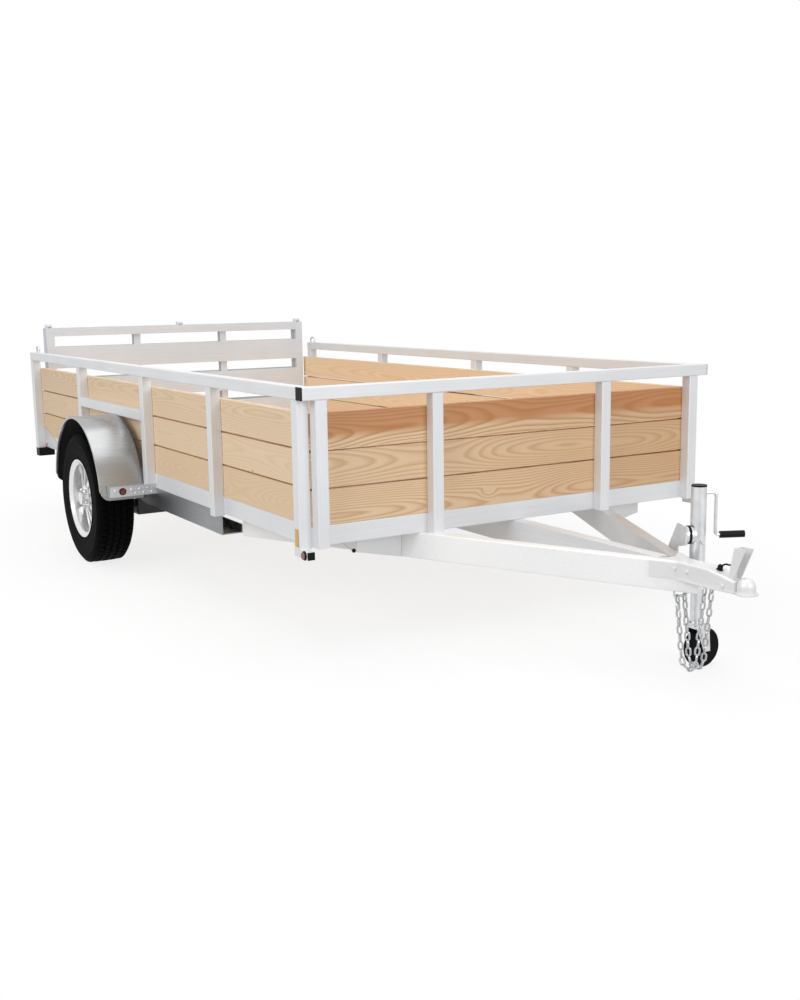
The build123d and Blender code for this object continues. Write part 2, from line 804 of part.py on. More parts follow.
flange_face = -jack_tube_radius - jack_flange_gap
jack_tube_solid = upright(jack_tube_radius, (jack_tube_bottom, jack_top))
jack_tube_solid += cross_rod(0, jack_pivot_height, jack_flange_radius, (flange_face, -jack_tube_radius / 2))
leg_bore = jack_leg_radius + running_gap
jack_tube_solid -= upright(leg_bore, (jack_tube_bottom, jack_top - jack_top_plate))
save("jack_tube", jack_place * jack_tube_solid)
cap_rise = (jack_top, jack_top + jack_cap_height)
save("jack_cap", jack_place * upright(jack_tube_radius - jack_cap_inset, cap_rise))

plate_face = -jack_offset + jack_plate_thickness
mount_top = jack_pivot_height + jack_flange_radius
mount_outline = [
    (-jack_mount_rear, tongue_bottom + jack_mount_margin),
    (-jack_mount_front, tongue_bottom + jack_mount_margin),
    (-jack_mount_front, coupler_top + jack_mount_margin / 2),
    (jack_flange_radius, jack_pivot_height - jack_flange_radius),
    (jack_flange_radius, mount_top),
    (-jack_mount_front, mount_top),
    (-jack_mount_rear, coupler_top),
]
mount_plate = side_plate(mount_outline, (-jack_offset, plate_face))
mount_disc = cross_rod(0, jack_pivot_height, jack_flange_radius, (-jack_offset, flange_face - running_gap))
save("jack_mount", jack_place * (mount_plate + mount_disc))

crank_out = jack_tube_radius + crank_reach
grip_height = crank_height - crank_arm
crank_points = [
    (0, jack_tube_radius - crank_root, crank_height),
    (0, crank_out, crank_height),
    (0, crank_out, grip_height),
    (0, crank_out + grip_length, grip_height),
]
crank = bent_rod(crank_points, crank_rod_radius, rod_bend * crank_rod_radius)
crank -= upright(jack_tube_radius, (jack_tube_bottom, jack_top))
save("jack_crank", jack_place * crank)
grip_start = crank_out + grip_setback
grip = cross_rod(0, grip_height, grip_radius, (grip_start, grip_start + grip_length))
grip -= cross_rod(0, grip_height, crank_rod_radius, (0, crank_out + grip_length))
save("jack_grip", jack_place * grip)

leg_bottom = caster_plate_height + running_gap
leg_foot = (leg_bottom, leg_bottom + jack_foot_height)
leg = upright(jack_leg_radius, (leg_bottom, jack_leg_top))
leg += upright(jack_leg_radius + jack_foot_lip, leg_foot)
leg -= upright(kingpin_radius + running_gap, (leg_bottom, leg_bottom + kingpin_height))
save("jack_leg", jack_place * leg)

# Caster: local X is the way it trails, with its axle along local Y
caster_place = jack_place * Rot(0, 0, caster_heading)
cheek_inner = caster_width / 2 + caster_cheek_gap
cheek_outer = cheek_inner + caster_cheek
plate_rise = (caster_plate_height - caster_plate_thickness, caster_plate_height)
fork = block((-caster_plate_rear, caster_plate_front), (-cheek_outer, cheek_outer), plate_rise)
fork += upright(kingpin_radius, (plate_rise[0], caster_plate_height + kingpin_height))
cheek_outline = [
    (-caster_cheek_rear, plate_rise[1]),
    (caster_plate_front, plate_rise[1]),
    (caster_trail + caster_cheek_foot, caster_radius - caster_cheek_drop),
    (caster_trail - caster_cheek_foot, caster_radius - caster_cheek_drop),
]
cheek = side_plate(cheek_outline, (cheek_inner, cheek_outer))
fork += cheek + mirrored(cheek)
fork += cross_rod(caster_trail, caster_radius, caster_pin_radius, (-cheek_outer, cheek_outer))
save("caster_fork", caster_place * fork)
caster_half = caster_width / 2
caster_bore = caster_pin_radius + running_gap
wheel_profile = [
    (caster_bore, -caster_half),
    (caster_radius - caster_shoulder, -caster_half),
    (caster_radius, -caster_half + caster_shoulder),
    (caster_radius, caster_half - caster_shoulder),
    (caster_radius - caster_shoulder, caster_half),
    (caster_bore, caster_half),
]
caster_wheel = Pos(caster_trail, 0, caster_radius) * Rot(90, 0, 0) * turned(wheel_profile)
save("caster_wheel", caster_place * caster_wheel)

# Gate: lower panel hinged on the rear sill, upper panel folded down behind it
gate_bottom = gate_hinge_height + gate_bottom_gap
lower_span = (hinge_x - gate_thickness / 2, hinge_x + gate_thickness / 2)
half_knuckle = knuckle_width / 2
lug_spans = [(half_knuckle + lug_gap, half_knuckle + lug_gap + lug_width)]
lug_spans.append(tuple(-edge for edge in reversed(lug_spans[0])))
hinge_stations = (gate_hinge_inset - gate_half_width, 0.0, gate_half_width - gate_hinge_inset)
fold_stations = (gate_fold_inset - gate_half_width, 0.0, gate_half_width - gate_fold_inset)
bore_radius = hinge_pin_radius + running_gap


def shifted(span, distance):
    """A pair of values moved along together."""
    return tuple(value + distance for value in span)


def gate_panel(bottom):
    """Lower panel's frame and planks, with its planks towards the bed."""
    x = lower_span
    back = (x[0], x[0] + gate_back_depth)
    rise = (bottom, gate_panel_top)
    inner = gate_half_width - tube
    frame = block(x, (inner, gate_half_width), rise) + block(x, (-gate_half_width, -inner), rise)
    frame += block(x, (-inner, inner), (gate_panel_top - gate_bar_height, gate_panel_top))
    frame += block(back, (-inner, inner), (bottom, bottom + gate_bar_height))
    for middle in (-gate_upright_offset, gate_upright_offset):
        width = (middle - gate_upright_width / 2, middle + gate_upright_width / 2)
        frame += block(back, width, rise)
    first_top = gate_panel_top - gate_plank_first_drop
    step = (first_top - bottom - gate_plank_height) / (gate_plank_rows - 1)
    planks = []
    for row in range(gate_plank_rows):
        top = first_top - row * step
        planks.append(block((back[1], x[1]), (-inner, inner), (top - gate_plank_height, top)))
    return frame, planks


def behind(shape):
    """The lower panel's piece turned round to the folded upper panel's place."""
    return Pos(2 * fold_x, 0, 0) * mirror(shape, about=Plane.YZ)


lower_frame, lower_planks = gate_panel(gate_bottom)
upper_base, upper_planks = gate_panel(gate_bottom + gate_upper_gap - gate_bottom_gap)
upper_frame = behind(upper_base)
hinge_solids = []
web_span = (lower_span[0], lower_span[0] + gate_back_depth)
for station in hinge_stations:
    knuckle_span = (station - half_knuckle, station + half_knuckle)
    lower_frame += block(web_span, knuckle_span, (gate_hinge_height, gate_bottom))
    lower_frame += cross_rod(hinge_x, gate_hinge_height, knuckle_radius, knuckle_span)
    lower_frame -= cross_rod(hinge_x, gate_hinge_height, bore_radius, knuckle_span)
    pin_span = (station + lug_spans[1][0], station + lug_spans[0][1])
    lugs = cross_rod(hinge_x, gate_hinge_height, hinge_pin_radius, pin_span)
    for span in lug_spans:
        lug = shifted(span, station)
        lugs += cross_rod(hinge_x, gate_hinge_height, knuckle_radius, lug)
        arm_rise = (gate_hinge_height - knuckle_radius, gate_hinge_height + knuckle_radius / 2)
        lugs += block((hinge_x, sill_rear), lug, arm_rise)
    hinge_solids.append(lugs)
for station in fold_stations:
    knuckle_span = (station - half_knuckle, station + half_knuckle)
    foot_rise = (gate_panel_top - knuckle_root, gate_fold_height)
    for span in lug_spans:
        lug = shifted(span, station)
        lower_frame += cross_rod(fold_x, gate_fold_height, knuckle_radius, lug)
        lower_frame += block((fold_x, hinge_x), lug, foot_rise)
    pin_span = (station + lug_spans[1][0], station + lug_spans[0][1])
    lower_frame += cross_rod(fold_x, gate_fold_height, hinge_pin_radius, pin_span)
    upper_frame += cross_rod(fold_x, gate_fold_height, knuckle_radius, knuckle_span)
    upper_frame += block((2 * fold_x - hinge_x, fold_x), knuckle_span, foot_rise)
    upper_frame -= cross_rod(fold_x, gate_fold_height, bore_radius, knuckle_span)
save("gate_lower_frame", lower_frame)
save("gate_lower_planks", *lower_planks)
save("gate_upper_frame", upper_frame)
save("gate_upper_planks", *[behind(plank) for plank in upper_planks])
save("gate_hinges", *hinge_solids)

# Gate latches: bent rods on the rear ends of the top rails
latch_x = rear_face + latch_setback
latch_y = board_face + latch_inset
latch_points = [
    (latch_x, latch_y, rail_top),
    (latch_x, latch_y, rail_top + latch_loop_height),
    (latch_x + latch_loop_span, latch_y, rail_top + latch_loop_height),
    (latch_x + latch_loop_span, latch_y, rail_top),
]
latch = bent_rod(latch_points, latch_rod_radius, rod_bend * latch_rod_radius)
save("gate_latches", latch, mirrored(latch))

# Corner stubs with end caps and marker lamps, side reflectors and tail lamps
stub_x = -front_post_station - tube / 2
stub_span = (stub_x, stub_x + stub_length)
stub_y = (half_bed - stub_size, half_bed)
stub_rise = (post_bottom - stub_size, post_bottom)
stub = block(stub_span, stub_y, stub_rise)
save("marker_stubs", stub, mirrored(stub))
stub_cap = block((stub_span[1], stub_span[1] + stub_cap_thickness), stub_y, stub_rise)
save("stub_caps", stub_cap, mirrored(stub_cap))
lamp_x = stub_span[1] - lamp_setback
front_lamp = cross_rod(lamp_x, sum(stub_rise) / 2, lamp_radius, (half_bed, half_bed + lamp_depth))
fender_lamp_x = front_bracket[1] + lamp_depth / 2
fender_lamp_z = fender_bracket_top - fender_bracket_height / 2
fender_lamp = Pos(fender_lamp_x, fender_outer - fender_lamp_inset, fender_lamp_z) * Rot(0, 90, 0)
fender_lamp = fender_lamp * Cylinder(lamp_radius, lamp_depth)
save("marker_lamps", front_lamp, mirrored(front_lamp), fender_lamp, mirrored(fender_lamp))
reflector_x = -front_post_station
reflector_bottom = floor_bottom + reflector_rise
reflector = block(
    (reflector_x - reflector_width / 2, reflector_x + reflector_width / 2),
    (half_bed, half_bed + reflector_depth),
    (reflector_bottom, reflector_bottom + reflector_height),
)
save("reflectors", reflector, mirrored(reflector))
tail_lamp = block(
    (rear_face, rear_face + tail_lamp_depth),
    (board_face - tube, half_bed),
    (post_bottom - tail_lamp_height, post_bottom),
)
save("tail_lamps", tail_lamp, mirrored(tail_lamp))
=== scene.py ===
import json
from math import cos, pi, radians, sin
import bmesh
import bpy
import numpy as np
from mathutils import Matrix, Vector
from mathutils.bvhtree import BVHTree


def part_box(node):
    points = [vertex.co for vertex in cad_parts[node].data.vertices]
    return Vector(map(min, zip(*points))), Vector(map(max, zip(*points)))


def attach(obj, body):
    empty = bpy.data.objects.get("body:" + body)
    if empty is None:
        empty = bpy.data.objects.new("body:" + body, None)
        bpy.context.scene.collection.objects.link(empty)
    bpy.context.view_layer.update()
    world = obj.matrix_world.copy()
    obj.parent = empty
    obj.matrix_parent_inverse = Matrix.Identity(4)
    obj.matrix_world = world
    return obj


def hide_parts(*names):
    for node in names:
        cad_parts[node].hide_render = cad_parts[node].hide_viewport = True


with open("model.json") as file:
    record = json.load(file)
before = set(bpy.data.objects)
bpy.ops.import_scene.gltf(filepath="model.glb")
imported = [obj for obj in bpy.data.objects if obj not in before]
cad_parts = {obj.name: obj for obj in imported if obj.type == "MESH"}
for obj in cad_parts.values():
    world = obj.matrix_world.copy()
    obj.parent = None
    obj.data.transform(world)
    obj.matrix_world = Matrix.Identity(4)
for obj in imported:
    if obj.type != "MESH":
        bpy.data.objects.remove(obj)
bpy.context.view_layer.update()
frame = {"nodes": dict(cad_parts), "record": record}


# Frame tubes
# Square and rectangular extrusions of a light alloy, cut and welded into the bed, its posts
# and its rails. They keep the mill's satin skin, with faint die lines along each tube.
def linear(hex_code):
    """Linear colour, with alpha, of an sRGB hex value."""
    levels = [int(hex_code[place:place + 2], 16) / 255 for place in (1, 3, 5)]
    channels = [
        level / 12.92 if level <= 0.04045 else ((level + 0.055) / 1.055) ** 2.4 for level in levels]
    return channels + [1.0]


def add(tree, kind, inputs=None, **settings):
    """A new node with its settings, its input values and its links."""
    node = tree.nodes.new(kind)
    for setting, value in settings.items():
        setattr(node, setting, value)
    for socket, value in (inputs or {}).items():
        if isinstance(value, bpy.types.NodeSocket):
            tree.links.new(value, node.inputs[socket])
        else:
            node.inputs[socket].default_value = value
    return node


def new_material(name, **shader_inputs):
    """An empty material with one shader, its node tree and the place of a point on the piece."""
    material = bpy.data.materials.new(name)
    material.use_nodes = True
    tree = material.node_tree
    shader = tree.nodes["Principled BSDF"]
    for socket, value in shader_inputs.items():
        shader.inputs[socket.replace("_", " ")].default_value = value
    place = add(tree, "ShaderNodeTexCoord").outputs["Object"]
    return material, tree, shader, place


def dress(material, *nodes):
    """Give nodes of the frame their finish."""
    for name in nodes:
        mesh = frame["nodes"][name].data
        mesh.materials.clear()
        mesh.materials.append(material)


clouds_per_metre = 3.0


def streaked_metal(name, colour, dark, rough, grain_mm, stretch, relief, metallic=1.0):
    """Bare metal whose rolling or brushing lines run along the axes with a stretch below 1.

    The lines are coarser than real ones, which would be too fine to show.
    """
    material, tree, shader, place = new_material(name, Metallic=metallic)
    lines = add(tree, "ShaderNodeVectorMath", {0: place, 1: stretch}, operation="MULTIPLY")
    streaks = add(tree, "ShaderNodeTexNoise", {
        "Vector": lines.outputs[0], "Scale": 1000 / grain_mm, "Detail": 3.0, "Roughness": 0.6})
    clouds = add(tree, "ShaderNodeTexNoise", {
        "Vector": place, "Scale": clouds_per_metre, "Detail": 4.0})
    both = add(tree, "ShaderNodeMath", {
        0: streaks.outputs["Fac"], 1: clouds.outputs["Fac"]}, operation="ADD")
    spread = {"Value": both.outputs[0], "From Min": 0.6, "From Max": 1.4}
    tone = add(tree, "ShaderNodeMapRange", spread)
    paint = add(tree, "ShaderNodeMix", {
        "Factor": tone.outputs[0], 6: linear(dark), 7: linear(colour)}, data_type="RGBA")
    duller, brighter = rough + 0.08, rough - 0.06
    gloss = add(tree, "ShaderNodeMapRange", {**spread, "To Min": duller, "To Max": brighter})
    bump = add(tree, "ShaderNodeBump", {
        "Height": streaks.outputs["Fac"], "Strength": 0.25, "Distance": relief})
    tree.links.new(paint.outputs[2], shader.inputs["Base Color"])
    tree.links.new(gloss.outputs[0], shader.inputs["Roughness"])
    tree.links.new(bump.outputs[0], shader.inputs["Normal"])
    return material


# Lines run along the axis with the small stretch
along_x = (0.02, 1.0, 1.0)
along_y = (1.0, 0.02, 1.0)
along_z = (1.0, 1.0, 0.02)
line_relief = 0.0002

# Mill-finished tube is pale and satin, and takes only a soft reflection
tube_look = ("#EBECEE", "#DFE0E3", 0.45, 6.0)
tube_metallic = 0.3
tube_lengthwise, tube_crosswise, tube_upright = [
    streaked_metal("extruded_aluminium_" + way, *tube_look, lines, line_relief, tube_metallic)
    for way, lines in (("lengthwise", along_x), ("crosswise", along_y), ("upright", along_z))]
dress(tube_lengthwise, "side_rails", "top_rails", "fender_braces", "marker_stubs", "tongue_centre")
dress(tube_crosswise, "front_rail", "rear_sill", "crossmembers", "front_top_rail")
dress(tube_upright, "side_posts_left", "side_posts_right", "front_posts")


# Welds
# Beads of aluminium filler where each post meets the floor rail and the top rail, laid by hand
# as a row of overlapping ripples. They are a little brighter than the tubes.
def new_tree(name, **sockets):
    """A Geometry Nodes tree with geometry in and out and further named inputs."""
    tree = bpy.data.node_groups.new(name, "GeometryNodeTree")
    tree.interface.new_socket("Geometry", in_out="INPUT", socket_type="NodeSocketGeometry")
    for label, kind in sockets.items():
        tree.interface.new_socket(label, in_out="INPUT", socket_type="NodeSocket" + kind)
    tree.interface.new_socket("Geometry", in_out="OUTPUT", socket_type="NodeSocketGeometry")
    return tree, add(tree, "NodeGroupInput").outputs


def close_tree(tree, instances, finish):
    """End a tree with real meshes in one finish."""
    real = add(tree, "GeometryNodeRealizeInstances", {"Geometry": instances})
    finished_or_shade_painted = add(tree, "GeometryNodeSetMaterial", {"Geometry": real.outputs[0], "Material": finish})
    add(tree, "NodeGroupOutput", {"Geometry": finished_or_shade_painted.outputs[0]})


def linked(name, mesh):
    """An object of a mesh, in the scene."""
    item = bpy.data.objects.new(name, mesh)
    bpy.context.scene.collection.objects.link(item)
    return item


def grown(name, seed_mesh, tree, **values):
    """A plain mesh piece that a tree grows from a seed."""
    seed = linked(name + "_seed", seed_mesh)
    grow = seed.modifiers.new("grow", "NODES")
    grow.node_group = tree
    for socket in tree.interface.items_tree:
        if socket.in_out == "INPUT" and socket.name in values:
            grow[socket.identifier] = values[socket.name]
    ready = seed.evaluated_get(bpy.context.evaluated_depsgraph_get())
    mesh = bpy.data.meshes.new_from_object(ready)
    bpy.data.objects.remove(seed)
    return linked(name, mesh)


def fit(piece, body):
    """Let a piece move with a body."""
    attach(piece, body)
    return piece


def solids_of(node):
    """Corner points of each solid of a node."""
    shell = bmesh.new()
    shell.from_mesh(frame["nodes"][node].data)
    bmesh.ops.remove_doubles(shell, verts=shell.verts, dist=1e-6)
    left = set(shell.verts)
    solids = []
    for first in shell.verts:
        if first not in left:
            continue
        left.discard(first)
        group = [first]
        for corner in group:
            for edge in corner.link_edges:
                other = edge.other_vert(corner)
                if other in left:
                    left.discard(other)
                    group.append(other)
        solids.append(np.array([corner.co for corner in group]))
    shell.free()
    return solids


weld_tree, sizes = new_tree("weld_beads", Bead="Float", Pitch="Float", Finish="Material")
seams = add(weld_tree, "GeometryNodeMeshToCurve", {"Mesh": sizes["Geometry"]})
spaced = add(weld_tree, "GeometryNodeResampleCurve", {
    "Curve": seams.outputs[0], "Length": sizes["Pitch"]}, mode="LENGTH")
bead = add(weld_tree, "GeometryNodeMeshIcoSphere", {"Radius": sizes["Bead"], "Subdivisions": 1})
row = add(weld_tree, "GeometryNodeInstanceOnPoints", {
    "Points": spaced.outputs[0], "Instance": bead.outputs[0]})
close_tree(weld_tree, row.outputs[0], sizes["Finish"])

rail_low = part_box("front_rail")[0].z
deck_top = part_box("deck_planks")[1].z
foot_seam_inset = 0.004
head_seam_inset = 0.005
seam_lines = []
for node, rail_axis in (("side_posts_left", 0), ("side_posts_right", 0), ("front_posts", 1)):
    for corners in solids_of(node):
        low, high = corners.min(axis=0), corners.max(axis=0)
        out_axis = 1 - rail_axis
        inward = node == "side_posts_left" or rail_axis == 1
        rail_face = low[out_axis] if inward else high[out_axis]
        post_foot = max(low[2], rail_low) + foot_seam_inset
        for edge in (low[rail_axis], high[rail_axis]):
            foot, head = np.zeros(3), np.zeros(3)
            foot[rail_axis] = head[rail_axis] = edge
            foot[out_axis] = head[out_axis] = rail_face
            foot[2], head[2] = post_foot, deck_top - foot_seam_inset
            seam_lines.append((foot, head))
            start, end = np.zeros(3), np.zeros(3)
            start[rail_axis] = end[rail_axis] = edge
            start[out_axis] = low[out_axis] + head_seam_inset
            end[out_axis] = high[out_axis] - head_seam_inset
            start[2] = end[2] = high[2]
            seam_lines.append((start, end))
seam_ends = [tuple(end) for line in seam_lines for end in line]
seam_pairs = [(first, first + 1) for first in range(0, len(seam_ends), 2)]
seam_mesh = bpy.data.meshes.new("weld_seams")
seam_mesh.from_pydata(seam_ends, seam_pairs, [])

# Filler is bright and glints from ripple to ripple
unstretched = (1.0, 1.0, 1.0)
weld_metal = streaked_metal(
    "aluminium_weld_filler", "#ECECEC", "#D6D6D6", rough=0.36, grain_mm=2.0,
    stretch=unstretched, relief=line_relief, metallic=0.6)
bead_radius = 0.0032
bead_pitch = 0.0042
welds = grown("frame_welds", seam_mesh, weld_tree, Bead=bead_radius, Pitch=bead_pitch, Finish=weld_metal)
fit(welds, "trailer")


# Boards and deck
# Plain-sawn pine boards, planed and left raw, screwed to the inside of the posts, and planks
# on the floor. Cathedral rings, fine fibres and a few small knots show on each face.
board_pitch = 0.1477
deck_plank_pitch = 0.18758
ring_spacing = 0.0085
fibre_mm = 2.2
log_length = 40.0
pith_range = 0.08
pith_depth = -0.06
pith_sway = 0.22
knots_along = 4.0
knots_across = 8.0
knot_rarity = 0.86
knot_push = 0.022
tint_share = 0.4
heart_share = 0.72
fibre_share = 0.16


def pine(name, axes, first_edge, pitch, seed, pale, late, contrast, heart_row, end_to_end_reddening):
    """Pine with its grain along the first axis and its boards stacked along the second."""
    material, tree, shader, place = new_material(name, Roughness=0.58, Specular_IOR_Level=0.3)
    split = add(tree, "ShaderNodeSeparateXYZ", {0: place})
    along, across, depth = [split.outputs[axis] for axis in axes]

    def calc(operation, first, second=0.0, third=0.0):
        inputs = {0: first, 1: second, 2: third}
        return add(tree, "ShaderNodeMath", inputs, operation=operation).outputs[0]

    def mixed(share, first, second):
        inputs = {"Factor": share, 6: first, 7: second}
        return add(tree, "ShaderNodeMix", inputs, data_type="RGBA").outputs[2]

    rise = calc("DIVIDE", calc("SUBTRACT", across, first_edge), pitch)
    row = calc("FLOOR", rise)
    in_board = calc("MULTIPLY", calc("SUBTRACT", calc("FRACT", rise), 0.5), pitch)
    key = add(tree, "ShaderNodeCombineXYZ", {0: row, 1: calc("SIGN", depth), 2: seed})
    chance = add(tree, "ShaderNodeTexWhiteNoise", {"Vector": key.outputs[0]}, noise_dimensions="3D")
    draws = add(tree, "ShaderNodeSeparateColor", {0: chance.outputs["Color"]}).outputs
    lengthwise = calc("MULTIPLY_ADD", draws[0], log_length, along)

    # Rings cut by a plane near the pith, which sways along the board
    sway_place = add(tree, "ShaderNodeCombineXYZ", {
        0: lengthwise, 1: calc("MULTIPLY", in_board, 3.0), 2: row})
    sway = add(tree, "ShaderNodeTexNoise", {
        "Vector": sway_place.outputs[0], "Scale": 0.8, "Detail": 1.5}).outputs["Fac"]
    off_centre = calc("SUBTRACT", in_board, calc("MULTIPLY_ADD", draws[1], pith_range, -pith_range / 2))
    height = calc("MULTIPLY_ADD", sway, pith_sway, pith_depth)
    radius = calc("SQRT", calc("ADD", calc("POWER", off_centre, 2.0), calc("POWER", height, 2.0)))

    # Small knots, in a few cells only, that push the rings aside
    knot_place = add(tree, "ShaderNodeCombineXYZ", {
        0: calc("MULTIPLY", lengthwise, knots_along), 1: calc("MULTIPLY", in_board, knots_across), 2: row})
    knots = add(tree, "ShaderNodeTexVoronoi", {"Vector": knot_place.outputs[0], "Scale": 1.0})
    knot_draw = add(tree, "ShaderNodeSeparateColor", {0: knots.outputs["Color"]}).outputs[0]
    has_knot = calc("GREATER_THAN", knot_draw, knot_rarity)
    away = knots.outputs["Distance"]
    near = add(tree, "ShaderNodeMapRange", {
        "Value": away, "From Max": 0.35, "To Min": 1.0, "To Max": 0.0},
        interpolation_type="SMOOTHERSTEP").outputs[0]
    core = add(tree, "ShaderNodeMapRange", {
        "Value": away, "From Min": 0.04, "From Max": 0.1, "To Min": 0.7, "To Max": 0.0}).outputs[0]
    bent = calc("MULTIPLY_ADD", calc("MULTIPLY", near, has_knot), knot_push, radius)
    ring = add(tree, "ShaderNodeValToRGB", {0: calc("FRACT", calc("DIVIDE", bent, ring_spacing))})
    band = ring.color_ramp
    band.elements[0].color = (0, 0, 0, 1)
    band.elements[1].position = 0.78
    band.elements.new(0.35).color = (0.12, 0.12, 0.12, 1)
    band.elements.new(1.0).color = (0, 0, 0, 1)
    board_contrast = calc("MULTIPLY_ADD", draws[2], 0.5 * contrast, 0.6 * contrast)
    strength = calc("MULTIPLY", ring.outputs[0], board_contrast)

    # Raw pine is pale and matt: early wood, darker late wood, a tint for each board, heartwood, knots
    grain = mixed(strength, linear(pale), linear(late))
    tinted = mixed(calc("MULTIPLY", draws[0], tint_share), grain, linear("#E0BC92"))
    # Every board turns redder and darker along the first axis, alike from board to board
    reddening_share = add(tree, "ShaderNodeMapRange", {
        "Value": along, "From Min": -1.0, "From Max": 1.0, "To Max": end_to_end_reddening}).outputs[0]
    redder_along = mixed(reddening_share, tinted, linear("#B47637"))
    heart_edge = calc("MULTIPLY_ADD", sway, 0.06, -0.062)
    heart_side = add(tree, "ShaderNodeMapRange", {
        "Value": calc("SUBTRACT", in_board, heart_edge), "From Min": -0.01, "From Max": 0.02}).outputs[0]
    heart = calc("MULTIPLY", heart_side, calc("COMPARE", row, heart_row, 0.5))
    reddened = mixed(calc("MULTIPLY", heart, heart_share), redder_along, linear("#C67F48"))
    knotted = mixed(calc("MULTIPLY", core, has_knot), reddened, linear("#8A5B34"))
    fibre_place = add(tree, "ShaderNodeCombineXYZ", {
        0: calc("MULTIPLY", along, 0.02), 1: across, 2: depth})
    fibres = add(tree, "ShaderNodeTexNoise", {
        "Vector": fibre_place.outputs[0], "Scale": 1000 / fibre_mm, "Detail": 2.0}).outputs["Fac"]
    fibred = add(tree, "ShaderNodeVectorMath", {
        0: knotted, 3: calc("MULTIPLY_ADD", fibres, fibre_share, 1 - fibre_share / 2)}, operation="SCALE")
    bump = add(tree, "ShaderNodeBump", {
        "Height": calc("ADD", strength, fibres), "Strength": 0.3, "Distance": 0.0006})
    tree.links.new(fibred.outputs[0], shader.inputs["Base Color"])
    tree.links.new(bump.outputs[0], shader.inputs["Normal"])
    return material


board_gap = 0.004
plank_gap = 0.002
boards_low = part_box("front_boards")[0].z - board_gap
deck_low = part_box("deck_planks")[0].y - plank_gap
no_row = -99.0
pine_table = (
    # name, axes, first edge, pitch, seed, early wood, late wood, contrast, heartwood row, reddening along
    # the boards
    ("sides", (0, 2, 1), boards_low, board_pitch, 3.0, "#F5DCBC", "#D3AB7D", 0.36, no_row, 0.0),
    ("front", (1, 2, 0), boards_low, board_pitch, 5.0, "#FADFBC", "#C68E58", 0.75, 2.0, 0.4),
    ("deck", (0, 1, 2), deck_low, deck_plank_pitch, 8.0, "#E8CDAA", "#C49A69", 0.6, no_row, 0.0),
)
side_pine, front_pine, deck_pine = [pine("planed_pine_" + name, *look) for name, *look in pine_table]
dress(side_pine, "side_boards_left", "side_boards_right")
dress(front_pine, "front_boards")
dress(deck_pine, "deck_planks")


# Screws of the boards
# Zinc-plated pan-head screws, two through each board at each post, and two through each floor
# plank at each crossmember.
def turned_mesh(name, profile, sides):
    """A shape turned about z from points of radius and height."""
    shape = bmesh.new()
    points = [shape.verts.new((radius, 0, height)) for radius, height in profile]
    edges = [shape.edges.new(pair) for pair in zip(points, points[1:])]
    bmesh.ops.spin(shape, geom=points + edges, cent=(0, 0, 0), axis=(0, 0, 1), angle=2 * pi, steps=sides)
    return closed_mesh(name, shape)


def closed_mesh(name, shape):
    """A smooth mesh of a shape, its doubles merged and its faces turned outwards."""
    bmesh.ops.remove_doubles(shape, verts=shape.verts, dist=1e-5)
    bmesh.ops.recalc_face_normals(shape, faces=shape.faces)
    mesh = bpy.data.meshes.new(name)
    shape.to_mesh(mesh)
    shape.free()
    mesh.shade_smooth()
    mesh.set_sharp_from_angle(angle=radians(40))
    return mesh


copy_tree, sizes = new_tree("placed_copies", Pattern="Object", Finish="Material")
facing = add(copy_tree, "GeometryNodeInputNamedAttribute", {"Name": "facing"}, data_type="FLOAT_VECTOR")
along = add(copy_tree, "GeometryNodeInputNamedAttribute", {"Name": "along"}, data_type="FLOAT_VECTOR")
turn = add(copy_tree, "FunctionNodeAxesToRotation", {
    0: facing.outputs[0], 1: along.outputs[0]}, primary_axis="Z", secondary_axis="X")
pattern_info = add(copy_tree, "GeometryNodeObjectInfo", {"Object": sizes["Pattern"]})
placed = add(copy_tree, "GeometryNodeInstanceOnPoints", {
    "Points": sizes["Geometry"], "Instance": pattern_info.outputs["Geometry"],
    "Rotation": turn.outputs[0]})
close_tree(copy_tree, placed.outputs[0], sizes["Finish"])


def copies(name, pattern_mesh, places, finish):
    """One piece of copies of a shape: its z follows each place's facing, its x the along."""
    points = bpy.data.meshes.new(name + "_places")
    points.from_pydata([tuple(place[0]) for place in places], [], [])
    for column, label in ((1, "facing"), (2, "along")):
        attribute = points.attributes.new(label, "FLOAT_VECTOR", "POINT")
        attribute.data.foreach_set("vector", [value for place in places for value in place[column]])
    pattern = linked(name + "_pattern", pattern_mesh)
    piece = grown(name, points, copy_tree, Pattern=pattern, Finish=finish)
    bpy.data.objects.remove(pattern)
    return piece


# Zinc plate is bright but hazy, with a faint spangle that breaks its highlights
spangle_mm = 4.545
haze_mm = 28.57
zinc_plate, tree, shader, place = new_material("zinc_plated_steel", Metallic=1.0)
spangle = add(tree, "ShaderNodeTexVoronoi", {
    "Vector": place, "Scale": 1000 / spangle_mm}, feature="SMOOTH_F1")
haze = add(tree, "ShaderNodeTexNoise", {"Vector": place, "Scale": 1000 / haze_mm, "Detail": 4.0})
tone = add(tree, "ShaderNodeMix", {
    "Factor": haze.outputs["Fac"], 6: linear("#BDBFC1"), 7: linear("#E4E5E6")}, data_type="RGBA")
gloss = add(tree, "ShaderNodeMapRange", {
    "Value": spangle.outputs["Distance"], "To Min": 0.26, "To Max": 0.42})
tree.links.new(tone.outputs[2], shader.inputs["Base Color"])
tree.links.new(gloss.outputs[0], shader.inputs["Roughness"])

